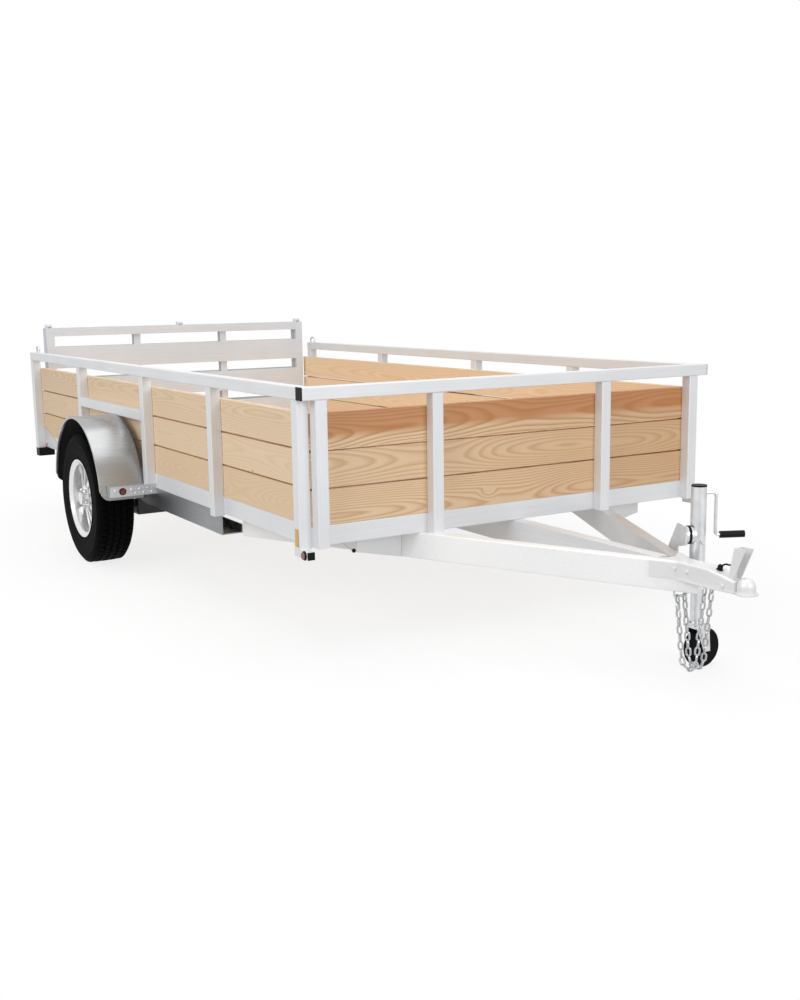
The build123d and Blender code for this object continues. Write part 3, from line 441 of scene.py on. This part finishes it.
screw_half_span = 0.035
deck_screw_half_span = 0.06
screw_margin = 0.01
up, back, right = Vector((0, 0, 1)), Vector((-1, 0, 0)), Vector((0, -1, 0))
screw_places = []
for side, name in ((1, "left"), (-1, "right")):
    boards = "side_boards_" + name
    rear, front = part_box(boards)[0].x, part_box("front_boards")[0].x
    face = min(abs(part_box(boards)[0].y), abs(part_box(boards)[1].y))
    for post in solids_of("side_posts_" + name):
        station = post[:, 0].mean()
        for board in solids_of(boards):
            for step in (-screw_half_span, screw_half_span):
                height = (board[:, 2].min() + board[:, 2].max()) / 2 + step
                inside = rear + screw_margin < station < front - screw_margin
                if inside and abs(height - deck_top) > screw_margin:
                    screw_places.append(((station, side * face, height), (0, -side, 0), up))
for post in solids_of("front_posts"):
    station = (post[:, 1].min() + post[:, 1].max()) / 2
    for board in solids_of("front_boards"):
        for step in (-screw_half_span, screw_half_span):
            height = (board[:, 2].min() + board[:, 2].max()) / 2 + step
            if abs(station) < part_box("deck_planks")[1].y:
                screw_places.append(((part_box("front_boards")[0].x, station, height), back, up))
for plank in solids_of("deck_planks"):
    for member in solids_of("crossmembers"):
        for step in (-deck_screw_half_span, deck_screw_half_span):
            spot = (member[:, 0].mean(), (plank[:, 1].min() + plank[:, 1].max()) / 2 + step, deck_top)
            screw_places.append((spot, up, right))
screw_head = turned_mesh(
    "screw_head", [(0, 0.0024), (0.003, 0.0021), (0.0058, 0.0008), (0.006, -0.001)], sides=10)
fit(copies("board_screws", screw_head, screw_places, zinc_plate), "trailer")


# Axle
# A square torsion axle under the sub-rails, with trailing arms and spindles. The steel is
# sprayed with satin black enamel after welding, which leaves a fine orange peel.
def speckled(name, dark, light, grain_mm, detail, strength, relief, **shader_inputs):
    """A coat or a rubber with a mottled tone and the same mottle in relief.

    The mottle is coarser than a real one, which would be too fine to show.
    """
    material, tree, shader, place = new_material(name, **shader_inputs)
    mottle = add(tree, "ShaderNodeTexNoise", {
        "Vector": place, "Scale": 1000 / grain_mm, "Detail": detail}).outputs["Fac"]
    tone = add(tree, "ShaderNodeMix", {
        "Factor": mottle, 6: linear(dark), 7: linear(light)}, data_type="RGBA")
    bump = add(tree, "ShaderNodeBump", {"Height": mottle, "Strength": strength, "Distance": relief})
    tree.links.new(tone.outputs[2], shader.inputs["Base Color"])
    tree.links.new(bump.outputs[0], shader.inputs["Normal"])
    return material


# Sprayed enamel has a soft sheen, broken by its orange peel
black_enamel = speckled(
    "black_enamelled_steel", "#0E0F10", "#1B1C1E", grain_mm=6.25, detail=3.0,
    strength=0.2, relief=0.0003, Roughness=0.4)
dress(black_enamel, "axle_beam", "axle_arms")


# Tyres
# Radial trailer tyres moulded in black rubber: a bulged sidewall with a rim guard, a rounded
# shoulder, and five rows of tread blocks parted by straight grooves.

# Tyre rubber is a flat black that hardly shines
tyre_rubber = speckled(
    "moulded_tyre_rubber", "#020202", "#060606", grain_mm=16.67, detail=4.0,
    strength=0.15, relief=0.0004, Roughness=0.7, Specular_IOR_Level=0.04)

sidewall = (
    # radius, distance from the tyre's middle plane
    (0.1925, 0.0810), (0.2092, 0.0822), (0.2112, 0.0880), (0.2150, 0.0958), (0.2200, 0.0962),
    (0.2240, 0.0938), (0.2400, 0.0962), (0.2620, 0.0985), (0.2840, 0.0994), (0.3040, 0.0978),
    (0.3065, 0.0990), (0.3100, 0.0972), (0.3220, 0.0938), (0.3320, 0.0872), (0.3378, 0.0790),
)
tread_base = 0.3385
tread_rows = (
    # middle, half width, crown radius, share of the pitch that is rubber
    (-0.0670, 0.0120, 0.3440, 0.80), (-0.0355, 0.0135, 0.3456, 0.93), (0.0, 0.0140, 0.3459, 0.93),
    (0.0355, 0.0135, 0.3456, 0.93), (0.0670, 0.0120, 0.3440, 0.80),
)
tread_pitches = 58
tyre_sides = 96
block_root = 0.002
block_bevel = 0.001
bevel_shrink = 0.86
outline = [*sidewall, (tread_base, 0.0)] + [(radius, -width) for radius, width in reversed(sidewall)]
outline.append(outline[0])


def tread_block(name, middle, half, crown, share):
    """One tread block with x across the tread and z outwards, on a wedge of the pitch."""
    shape = bmesh.new()
    swing = pi / tread_pitches * share
    rings = []
    levels = ((tread_base - block_root, 1.0), (crown - block_bevel, 1.0), (crown, bevel_shrink))
    for radius, shrink in levels:
        ring = []
        for cross, turn_by in ((-1, -1), (1, -1), (1, 1), (-1, 1)):
            angle = turn_by * swing * shrink
            x = middle + cross * half * shrink
            ring.append(shape.verts.new((x, radius * sin(angle), radius * cos(angle))))
        rings.append(ring)
    for lower, upper in zip(rings, rings[1:]):
        for corner in range(4):
            after = (corner + 1) % 4
            shape.faces.new((lower[corner], lower[after], upper[after], upper[corner]))
    shape.faces.new(rings[0])
    shape.faces.new(rings[-1])
    return closed_mesh(name, shape)


for side in ("left", "right"):
    low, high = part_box("tyre_" + side)
    wheel_centre = (low + high) / 2
    tyre_mesh = turned_mesh("tyre_body_" + side, outline, tyre_sides)
    tyre_mesh.transform(Matrix.Translation(wheel_centre) @ Matrix.Rotation(pi / 2, 4, "X"))
    tyre_mesh.materials.append(tyre_rubber)
    tyre = linked("tyre_carcass_" + side, tyre_mesh)
    fit(tyre, "wheel_" + side)
    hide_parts("tyre_" + side)
    for index, row in enumerate(tread_rows):
        stagger = 0.5 * (index % 2)
        spots = []
        for step in range(tread_pitches):
            angle = 2 * pi * (step + stagger) / tread_pitches
            spots.append((wheel_centre, (cos(angle), 0, sin(angle)), (0, 1, 0)))
        block = tread_block("tread_block", *row)
        fit(copies(f"tread_{side}_{index}", block, spots, tyre_rubber), "wheel_" + side)


# Wheels
# Cast alloy wheels with five split spokes, machined bright on the face and clear coated, held
# by five plated nuts. A rubber valve stands in a window of each rim.

# Machined alloy is bright and mirrors its surroundings softly
fine_relief = 0.0001
wheel_alloy = streaked_metal(
    "machined_cast_alloy", "#F2F2F2", "#DCDDDE", rough=0.26, grain_mm=3.0,
    stretch=unstretched, relief=fine_relief, metallic=0.7)
dress(wheel_alloy, "rim_left", "rim_right")

# Moulded black plastic and rubber are dull, with a fine pebbled grain
moulded_black = speckled(
    "moulded_black_plastic", "#060607", "#0F0F10", grain_mm=2.0, detail=2.0,
    strength=0.3, relief=0.0003, Roughness=0.5, Specular_IOR_Level=0.15)

nut_circle = 0.050
nut_count = 5
hub_front = 0.064
valve_circle = 0.1795
valve_front = 0.052
nut_mesh = turned_mesh(
    "wheel_nut", [(0, 0.019), (0.004, 0.0185), (0.0072, 0.0155), (0.0092, 0.012), (0.0092, -0.001)], sides=6)
valve_mesh = turned_mesh("valve_stem", [
    (0, 0.034), (0.0028, 0.0335), (0.003, 0.022),
    (0.0042, 0.020), (0.0046, 0.004), (0.0046, -0.012)], sides=12)
for side, out in (("left", 1), ("right", -1)):
    low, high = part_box("tyre_" + side)
    wheel_centre = (low + high) / 2
    spots = []
    for step in range(nut_count):
        angle = pi / 2 + pi / nut_count + 2 * pi * step / nut_count
        arm = Vector((cos(angle), 0, sin(angle)))
        foot = wheel_centre + arm * nut_circle + Vector((0, out * hub_front, 0))
        spots.append((foot, (0, out, 0), arm))
    fit(copies("wheel_nuts_" + side, nut_mesh, spots, zinc_plate), "wheel_" + side)
    arm = Vector((sin(pi / nut_count), 0, cos(pi / nut_count)))
    spot = wheel_centre + arm * valve_circle + Vector((0, out * valve_front, 0))
    valve = copies("valve_" + side, valve_mesh, [(spot, (0, out, 0), arm)], moulded_black)
    fit(valve, "wheel_" + side)


# Fenders and sub-rails
# Bare aluminium sheet, rolled round the wheel with a bright rolled lip, and folded channels
# under the side rails. The sheet shows fine brushing across its width.

# Brushed sheet glints across its lines, and milled plate is paler and duller
bare_share = 0.8
brushed_across = streaked_metal(
    "brushed_aluminium_across", "#B0B1B2", "#9A9B9C", rough=0.28, grain_mm=4.0,
    stretch=along_y, relief=line_relief, metallic=bare_share)
brushed_along = streaked_metal(
    "brushed_aluminium_along", "#A9ABAD", "#8C8E90", rough=0.36, grain_mm=4.0,
    stretch=along_x, relief=line_relief)
plate_and_shaded_beam_metal = streaked_metal(
    "milled_aluminium_plate_and_beam_shade", "#D8D8D9", "#C6C7C8", rough=0.42, grain_mm=5.0,
    stretch=along_y, relief=line_relief, metallic=0.6)
dress(plate_and_shaded_beam_metal, "tongue_gussets", "rear_gussets")
dress(brushed_along, "sub_rails")
dress(brushed_across, "fenders")

# The inside of the fenders is painted near black, dull and not metallic, back from the lip: painted shade
lip_radius = 0.413
sheet_radius = 0.4085
lip_depth = 0.011
low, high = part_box("fenders")
hoop_centre = ((low.x + high.x) / 2, 0.0, high.z - lip_radius)
tree = brushed_across.node_tree
shader = tree.nodes["Principled BSDF"]
place = tree.nodes["Texture Coordinate"].outputs["Object"]
from_axis = add(tree, "ShaderNodeVectorMath", {0: place, 1: hoop_centre}, operation="SUBTRACT")
flat = add(tree, "ShaderNodeVectorMath", {
    0: from_axis.outputs[0], 1: (1.0, 0.0, 1.0)}, operation="MULTIPLY")
reach = add(tree, "ShaderNodeVectorMath", {0: flat.outputs[0]}, operation="LENGTH")
within = add(tree, "ShaderNodeMath", {0: reach.outputs["Value"], 1: sheet_radius}, operation="LESS_THAN")
over = add(tree, "ShaderNodeMath", {
    0: add(tree, "ShaderNodeSeparateXYZ", {0: place}).outputs[1]}, operation="ABSOLUTE")
behind_lip = add(tree, "ShaderNodeMath", {
    0: over.outputs[0], 1: high.y - lip_depth}, operation="LESS_THAN")
# Painted shade: the sheet's inside, back from the lip
finished_or_shade_painted = add(tree, "ShaderNodeMath", {
    0: within.outputs[0], 1: behind_lip.outputs[0]}, operation="MULTIPLY").outputs[0]
bare_colour = shader.inputs["Base Color"].links[0].from_socket
bare_gloss = shader.inputs["Roughness"].links[0].from_socket
# The painted shade is near black, not metallic and rough
tone = add(tree, "ShaderNodeMix", {
    "Factor": finished_or_shade_painted, 6: bare_colour, 7: linear("#0B0B0C")}, data_type="RGBA")
metal = add(tree, "ShaderNodeMath", {0: finished_or_shade_painted, 1: -bare_share, 2: bare_share}, operation="MULTIPLY_ADD")
dull = add(tree, "ShaderNodeMath", {0: finished_or_shade_painted, 1: bare_gloss}, operation="MAXIMUM")
tree.links.new(tone.outputs[2], shader.inputs["Base Color"])
tree.links.new(metal.outputs[0], shader.inputs["Metallic"])
tree.links.new(dull.outputs[0], shader.inputs["Roughness"])


# Fender brackets
# Tread plate folded into a tray at each end of a fender: bright aluminium with raised lozenges,
# rolled in crosswise by turns. They keep clear of the marker lamps.
lozenge_pitch = 0.021
lozenge_half_length = 0.0105
lozenge_half_width = 0.0034
lozenge_height = 0.0014
lozenge_root = -0.0005
plate_margin = 0.008
lamp_clearance = 0.027
ray_lead = 0.1
face_tolerance = 0.001

# Tread plate is bright, and its lozenges catch the light on their slopes
tread_plate = streaked_metal(
    "aluminium_tread_plate", "#DADBDD", "#C8C9CB", rough=0.3, grain_mm=5.0,
    stretch=along_y, relief=line_relief, metallic=0.8)
dress(tread_plate, "fender_brackets")


def seat(node, start, direction):
    """Where a straight line first meets a node, and the way that its face looks there."""
    shell = frame["nodes"][node].data
    corners = [corner.co for corner in shell.vertices]
    faces = BVHTree.FromPolygons(corners, [face.vertices for face in shell.polygons])
    return faces.ray_cast(Vector(start), Vector(direction))[:2]


shape = bmesh.new()
for x, y, z in (
        (lozenge_half_length, 0.0, lozenge_root), (-lozenge_half_length, 0.0, lozenge_root),
        (0.0, lozenge_half_width, lozenge_root), (0.0, -lozenge_half_width, lozenge_root),
        (lozenge_half_length / 2, 0.0, lozenge_height), (-lozenge_half_length / 2, 0.0, lozenge_height)):
    shape.verts.new((x, y, z))
bmesh.ops.convex_hull(shape, input=shape.verts)
lozenge_mesh = closed_mesh("tread_lozenge", shape)
lamp_middles = [Vector((lamp.min(axis=0) + lamp.max(axis=0)) / 2) for lamp in solids_of("marker_lamps")]
axle_station = (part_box("tyre_left")[0].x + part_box("tyre_left")[1].x) / 2
lozenge_places = []
for corners in solids_of("fender_brackets"):
    low, high = corners.min(axis=0), corners.max(axis=0)
    ahead = 1 if low[0] > axle_station else -1
    face = high[0] if ahead > 0 else low[0]
    columns = int((high[1] - low[1] - 2 * plate_margin) / lozenge_pitch)
    rows = int((high[2] - low[2] - 2 * plate_margin) / lozenge_pitch) + 1
    for column in range(columns):
        for row in range(rows):
            over = (low[1] + high[1]) / 2 + (column - (columns - 1) / 2) * lozenge_pitch
            rise = (low[2] + high[2]) / 2 + (row - (rows - 1) / 2) * lozenge_pitch
            spot = seat("fender_brackets", (face + ahead * ray_lead, over, rise), (-ahead, 0, 0))[0]
            on_face = spot is not None and abs(spot.x - face) < face_tolerance
            if on_face and min((spot - lamp).length for lamp in lamp_middles) > lamp_clearance:
                lean = 1 if (row + column) % 2 else -1
                lozenge_places.append((spot, (ahead, 0, 0), (0, 1, lean)))
fit(copies("tread_lozenges", lozenge_mesh, lozenge_places, tread_plate), "trailer")


# Tongue and coupler
# Two extruded beams and a pressed steel coupler, which is sprayed silver-white and bolted
# through its flanks. A rubber-coated pin on a loop locks its latch.

# The enamel is pale, with a soft sheen. Both beams are one bare extrusion, with painted light and shade
coupler_paint = speckled(
    "silver_white_enamel", "#E6E6E6", "#F0F0F0", grain_mm=7.143, detail=3.0,
    strength=0.15, relief=0.0004, Roughness=0.4, Metallic=0.15)
# The right beam is painted as pale as the enamel: painted light
lit_beam_painted_pale = streaked_metal(
    "aluminium_beam_painted_light", "#FBFBFB", "#F1F1F1", rough=0.5, grain_mm=6.0,
    stretch=along_x, relief=fine_relief, metallic=0.25)
dress(lit_beam_painted_pale, "tongue_right")
# The left beam takes the darker plate finish: painted shade
dress(plate_and_shaded_beam_metal, "tongue_left")
dress(coupler_paint, "coupler", "coupler_latch")

bolt_table = (
    # station along X, height
    (2.300, 0.412), (2.360, 0.410), (2.520, 0.392),
)
beside_coupler = 0.5
bolt_mesh = turned_mesh(
    "coupler_bolt", [(0, 0.0062), (0.0068, 0.006), (0.0078, 0.0048), (0.0078, -0.001)], sides=6)
bolt_places = []
for station, height in bolt_table:
    for side in (1, -1):
        spot, normal = seat("coupler", (station, side * beside_coupler, height), (0, -side, 0))
        bolt_places.append((spot, normal, up))
fit(copies("coupler_bolts", bolt_mesh, bolt_places, coupler_paint), "trailer")


def bent_wire(name, points, radius, finish):
    """A round wire along a smooth line through a few points, as a mesh with closed ends."""
    curve = bpy.data.curves.new(name, "CURVE")
    curve.dimensions = "3D"
    curve.bevel_depth = radius
    curve.bevel_resolution = 3
    curve.use_fill_caps = True
    line = curve.splines.new("NURBS")
    line.points.add(len(points) - 1)
    for point, place in zip(line.points, points):
        point.co = (*place, 1.0)
    line.use_endpoint_u = True
    line.order_u = 3
    wire = linked(name + "_line", curve)
    mesh = bpy.data.meshes.new_from_object(wire.evaluated_get(bpy.context.evaluated_depsgraph_get()))
    bpy.data.objects.remove(wire)
    mesh.materials.clear()
    mesh.materials.append(finish)
    mesh.shade_smooth()
    return linked(name, mesh)


pin_station = 2.475
above_coupler = 0.8
loop_radius = 0.0032
pin_seat, normal = seat("coupler", (pin_station, 0.0, above_coupler), (0, 0, -1))
pin_head = turned_mesh("latch_pin_head", [
    (0, 0.020), (0.006, 0.019), (0.0095, 0.014),
    (0.0095, 0.006), (0.012, 0.002), (0.012, -0.002)], sides=20)
fit(copies("latch_pin", pin_head, [(pin_seat, normal, back)], moulded_black), "trailer")

# The loop arches from the pin to an eye in the latch
latch_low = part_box("coupler_latch")[0]
eye_inset, eye_height = 0.006, 0.042
loop_end = Vector((latch_low.x + eye_inset, 0.0, latch_low.z + eye_height))
loop_rise = [Vector(step) for step in ((0.002, 0, 0.008), (0.02, 0, 0.026), (0.045, 0, 0.024))]
loop_fall = Vector((-0.014, 0, 0.004))
loop_points = [pin_seat + step for step in loop_rise] + [loop_end + loop_fall, loop_end]
fit(bent_wire("latch_pin_loop", loop_points, loop_radius, moulded_black), "trailer")


# Safety chains
# Welded steel links of round wire, zinc plated, each turned across its neighbours. The two
# chains hang in a bight between the coupler's bolt and the staple under the beams.
link_wire = 0.00375
link_half_length = 0.0145
link_bend = 0.0075
bend_steps = 7
wire_sides = 8
path = []
for end in (1, -1):
    for step in range(bend_steps):
        angle = pi * (step / (bend_steps - 1) - 0.5)
        out = Vector((end * cos(angle), end * sin(angle), 0))
        centre = Vector((end * (link_half_length - link_bend), 0, 0)) + link_bend * out
        path.append((centre, out))
shape = bmesh.new()
rings = []
for centre, out in path:
    ring = []
    for step in range(wire_sides):
        angle = 2 * pi * step / wire_sides
        ring.append(shape.verts.new(centre + link_wire * (out * cos(angle) + up * sin(angle))))
    rings.append(ring)
for index, ring in enumerate(rings):
    after = rings[(index + 1) % len(rings)]
    for step in range(wire_sides):
        further = (step + 1) % wire_sides
        shape.faces.new((ring[step], ring[further], after[further], after[step]))
link_mesh = closed_mesh("chain_link", shape)

# The chain's plate is greyer than the jack's, and glints from link to link
chain_zinc = streaked_metal(
    "zinc_plated_chain", "#D2D3D4", "#A0A2A4", rough=0.3, grain_mm=2.0,
    stretch=unstretched, relief=line_relief)
for side in ("left", "right"):
    link_places = []
    for corners in solids_of("chain_" + side):
        middle = (corners.min(axis=0) + corners.max(axis=0)) / 2
        directions = np.linalg.eigh(np.cov((corners - middle).T))[1]
        link_places.append((middle, directions[:, 0], directions[:, 2]))
    chain = copies("safety_chain_" + side, link_mesh, link_places, chain_zinc)
    fit(chain, "trailer")
    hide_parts("chain_" + side)
dress(zinc_plate, "chain_anchors")


# Jack and caster
# A swivel jack of zinc-plated tube with a bent crank, a black grip and cap, and a hard rubber
# caster. A spring pin through a black bush locks its swivel.
dress(zinc_plate, "jack_tube", "jack_mount", "jack_crank", "jack_leg", "caster_fork")
dress(moulded_black, "jack_cap", "jack_grip", "rail_caps", "stub_caps", "tail_lamps")

# Caster rubber is hard and nearly black, with faint scuffs and no relief
caster_rubber = speckled(
    "hard_caster_rubber", "#050505", "#0D0D0D", grain_mm=11.11, detail=5.0,
    strength=0.0, relief=0.0003, Roughness=0.6, Specular_IOR_Level=0.08)
dress(caster_rubber, "caster_wheel")

swing = next(joint for joint in frame["record"]["behaviour"]["joints"] if joint["name"] == "jack_swing")
swivel_spot, outward = Vector(swing["pos_m"]), Vector(swing["axis"])
forward = outward.cross(up)
bush_depth = -0.0405
bush_mesh = turned_mesh("swivel_bush", [
    (0.0318, 0.0), (0.0345, 0.001), (0.0345, 0.009), (0.0318, 0.010), (0.0318, 0.0)], sides=36)
bush_place = (swivel_spot + outward * bush_depth, outward, up)
fit(copies("swivel_bush", bush_mesh, [bush_place], moulded_black), "jack_body")
pin_ahead, pin_drop = 0.027, 0.018
pin_length, pin_lean, pin_fall = 0.026, 0.004, 0.010
pin_radius = 0.005
pin_start = swivel_spot + forward * pin_ahead - up * pin_drop
pin_tip = pin_start + forward * pin_length + outward * pin_lean - up * pin_fall
pin_line = [pin_start, (pin_start + pin_tip) / 2, pin_tip]
fit(bent_wire("swivel_pull_pin", pin_line, pin_radius, zinc_plate), "jack_body")


# Gate
# Two welded panels of aluminium bars and wide aluminium planks, folded back to back, with bent
# steel rods that lock over the rails.

# The planks are a flat cool grey, with broad die lines along them
gate_relief = 0.0003
gate_plank = streaked_metal(
    "extruded_aluminium_plank", "#E0E5EB", "#D3D8DF", rough=0.5, grain_mm=8.0,
    stretch=along_y, relief=gate_relief, metallic=0.1)
dress(tube_crosswise, "gate_hinges")
dress(gate_plank, "gate_lower_planks", "gate_upper_planks", "gate_lower_frame", "gate_upper_frame")
dress(zinc_plate, "gate_latches")


# Lamps and reflectors
# Moulded lenses with a prismed back: amber reflectors, dark amber markers at the front corners
# and on the fender brackets, each in a black rubber ring, and red tail lenses.
prism_mm = 3.846


def lens(name, deep, bright):
    """A moulded lens, glossy and deep in colour, with a pattern of small prisms whose glints are painted,
    bright at each cell's middle.
    """
    material, tree, shader, place = new_material(name, Roughness=0.14, Coat_Weight=0.5)
    prism_glints = add(tree, "ShaderNodeTexVoronoi", {"Vector": place, "Scale": 1000 / prism_mm})
    # Painted glints: the prism pattern is brighter at each cell's middle
    tone = add(tree, "ShaderNodeMix", {
        "Factor": prism_glints.outputs["Distance"], 6: linear(bright), 7: linear(deep)}, data_type="RGBA")
    tree.links.new(tone.outputs[2], shader.inputs["Base Color"])
    return material


amber_lens = lens("moulded_amber_lens", "#C08A14", "#EDBB38")
marker_lens = lens("moulded_dark_amber_lens", "#5A1D0C", "#8A3417")
red_lens = lens("moulded_red_lens", "#7A0C10", "#B3161B")
dress(amber_lens, "reflectors")
dress(marker_lens, "marker_lamps")
ring_mesh = turned_mesh("lamp_ring", [
    (0.0140, -0.001), (0.0185, -0.001), (0.0185, 0.002),
    (0.0165, 0.0045), (0.0142, 0.0045), (0.0140, -0.001)], sides=24)
ring_places = []
for corners in solids_of("marker_lamps"):
    low, high = corners.min(axis=0), corners.max(axis=0)
    thin = int(np.argmin(high - low))
    middle = (low + high) / 2
    facing = np.zeros(3)
    facing[thin] = 1.0 if thin == 0 else np.sign(middle[1])
    middle[thin] = low[thin] if facing[thin] > 0 else high[thin]
    ring_places.append((middle, facing, up))
fit(copies("lamp_rings", ring_mesh, ring_places, moulded_black), "trailer")

tail_lens_depth = 0.004
tail_margin = 0.006
tail_bevel = 0.0015
for side, corners in zip(("left", "right"), solids_of("tail_lamps")):
    low, high = corners.min(axis=0), corners.max(axis=0)
    shape = bmesh.new()
    bmesh.ops.create_cube(shape, size=1.0)
    size = (tail_lens_depth, high[1] - low[1] - 2 * tail_margin, high[2] - low[2] - 2 * tail_margin)
    bmesh.ops.scale(shape, vec=size, verts=shape.verts)
    middle = (low[0], (low[1] + high[1]) / 2, (low[2] + high[2]) / 2)
    bmesh.ops.translate(shape, vec=middle, verts=shape.verts)
    bmesh.ops.bevel(shape, geom=shape.edges, offset=tail_bevel, segments=2, affect="EDGES")
    lens_mesh = closed_mesh("tail_lens_" + side, shape)
    lens_mesh.materials.append(red_lens)
    fit(linked("tail_lens_" + side, lens_mesh), "trailer")


# Rear strips
# Short lengths of retroreflective tape, half red and half white, cut from a roll and stuck on
# the outside of both rear gussets.
strip_length, strip_width, strip_depth = 0.055, 0.030, 0.0012
strip_station, strip_height = -2.485, 0.465
beside_bed = 2.0

# The tape is glossy and flat in colour, white above and red below
strip_tape, tree, shader, place = new_material("retroreflective_tape", Roughness=0.3)
height = add(tree, "ShaderNodeSeparateXYZ", {0: place}).outputs[2]
upper = add(tree, "ShaderNodeMath", {0: height, 1: strip_height}, operation="GREATER_THAN").outputs[0]
tone = add(tree, "ShaderNodeMix", {
    "Factor": upper, 6: linear("#C2332E"), 7: linear("#F2F2F0")}, data_type="RGBA")
tree.links.new(tone.outputs[2], shader.inputs["Base Color"])
shape = bmesh.new()
bmesh.ops.create_cube(shape, size=1.0)
bmesh.ops.scale(shape, vec=(strip_length, strip_width, strip_depth), verts=shape.verts)
strip_mesh = closed_mesh("rear_strip", shape)
strip_places = []
for side in (1, -1):
    spot, normal = seat("rear_gussets", (strip_station, side * beside_bed, strip_height), (0, -side, 0))
    strip_places.append((spot, normal, up))
fit(copies("rear_strips", strip_mesh, strip_places, strip_tape), "trailer")


# Wiring stay
# A short zinc-plated steel rod, bent down under the front rail to carry the wiring, with a
# moulded black ball on its end.
stay_station, stay_side = 1.303, -0.845
stay_start = seat("front_rail", (stay_station, stay_side, 0.0), (0, 0, 1))[0]
stay_end = stay_start + Vector((0.058, 0.018, -0.027))
stay_bend = stay_start + Vector((0.005, 0.001, -0.018))
stay_radius = 0.0028
stay = bent_wire("wiring_stay", [stay_start, stay_bend, stay_end], stay_radius, zinc_plate)
fit(stay, "trailer")
ball_radius = 0.0085
ball_steps = 8
ball_angles = [pi * step / ball_steps for step in range(ball_steps + 1)]
ball_profile = [(ball_radius * sin(angle), -ball_radius * cos(angle)) for angle in ball_angles]
ball_mesh = turned_mesh("stay_ball", ball_profile, sides=16)
ball = copies("wiring_stay_ball", ball_mesh, [(stay_end, up, back)], moulded_black)
fit(ball, "trailer")


# Studio
# A plain pale floor that runs out to a white surround, under three broad soft lamps, with the
# camera at the height and the angle of the picture.
floor_half = 30.0
floor_mesh = bpy.data.meshes.new("studio_floor")
corners = [(x * floor_half, y * floor_half, 0) for x, y in ((-1, -1), (1, -1), (1, 1), (-1, 1))]
floor_mesh.from_pydata(corners, [], [(0, 1, 2, 3)])
studio_floor = linked("studio_floor", floor_mesh)

# The paint is matt white and thins out to the surround, so that only the soft shadow shows
fade_stretch = (0.42, 0.75, 1.0)
fade_start, fade_end = 0.7, 1.9
floor_clearness = 0.8
floor_paint, tree, shader, place = new_material("pale_floor_paint", Roughness=0.9, Specular_IOR_Level=0.0)
shader.inputs["Base Color"].default_value = linear("#FAFAFA")
round_bed = add(tree, "ShaderNodeVectorMath", {0: place, 1: fade_stretch}, operation="MULTIPLY")
reach = add(tree, "ShaderNodeVectorMath", {0: round_bed.outputs[0]}, operation="LENGTH")
fade = add(tree, "ShaderNodeMapRange", {
    "Value": reach.outputs["Value"], "From Min": fade_start, "From Max": fade_end,
    "To Min": floor_clearness},
    interpolation_type="SMOOTHERSTEP")
clear = add(tree, "ShaderNodeBsdfTransparent")
edge = add(tree, "ShaderNodeMixShader", {0: fade.outputs[0], 1: shader.outputs[0], 2: clear.outputs[0]})
tree.links.new(edge.outputs[0], tree.nodes["Material Output"].inputs["Surface"])
floor_mesh.materials.append(floor_paint)

# The surround looks white, and sheds less light than it shows
lit_level, seen_level = 0.4, 1.0
world = bpy.data.worlds.new("white_surround")
bpy.context.scene.world = world
world.use_nodes = True
tree = world.node_tree
background = tree.nodes["Background"]
rays = add(tree, "ShaderNodeLightPath")
seen = add(tree, "ShaderNodeMath", {
    0: rays.outputs["Is Camera Ray"], 1: rays.outputs["Is Glossy Ray"]}, operation="MAXIMUM")
seen = add(tree, "ShaderNodeMath", {
    0: seen.outputs[0], 1: rays.outputs["Is Transmission Ray"]}, operation="MAXIMUM")
level = add(tree, "ShaderNodeMapRange", {
    "Value": seen.outputs[0], "To Min": lit_level, "To Max": seen_level})
tree.links.new(level.outputs[0], background.inputs["Strength"])
background.inputs["Color"].default_value = (1, 1, 1, 1)

lamp_table = (
    # name, place, aim, size in metres, power in watts
    ("key_lamp", (3.0, -9.0, 5.0), (0.0, 0.0, 0.5), 5.0, 360.0),
    ("top_lamp", (0.0, 0.0, 8.0), (0.0, 0.0, 0.0), 8.0, 320.0),
    ("front_lamp", (9.5, 1.0, 3.5), (1.0, 0.0, 0.5), 4.0, 235.0),
)
for name, spot, aim, size, power in lamp_table:
    lamp = bpy.data.lights.new(name, "AREA")
    lamp.size = size
    lamp.energy = power
    lamp_object = linked(name, lamp)
    lamp_object.location = spot
    lamp_object.rotation_euler = (Vector(aim) - Vector(spot)).to_track_quat("-Z", "Y").to_euler()

camera = bpy.data.cameras.new("photo_camera")
camera.lens = 42.12
camera.sensor_width = 36.0
camera_object = linked("photo_camera", camera)
camera_object.location = (5.2737, -2.9850, 1.3862)
camera_object.rotation_euler = [radians(angle) for angle in (80.091, 0.825, 58.632)]
bpy.context.scene.camera = camera_object
bpy.context.scene.view_settings.view_transform = "Standard"
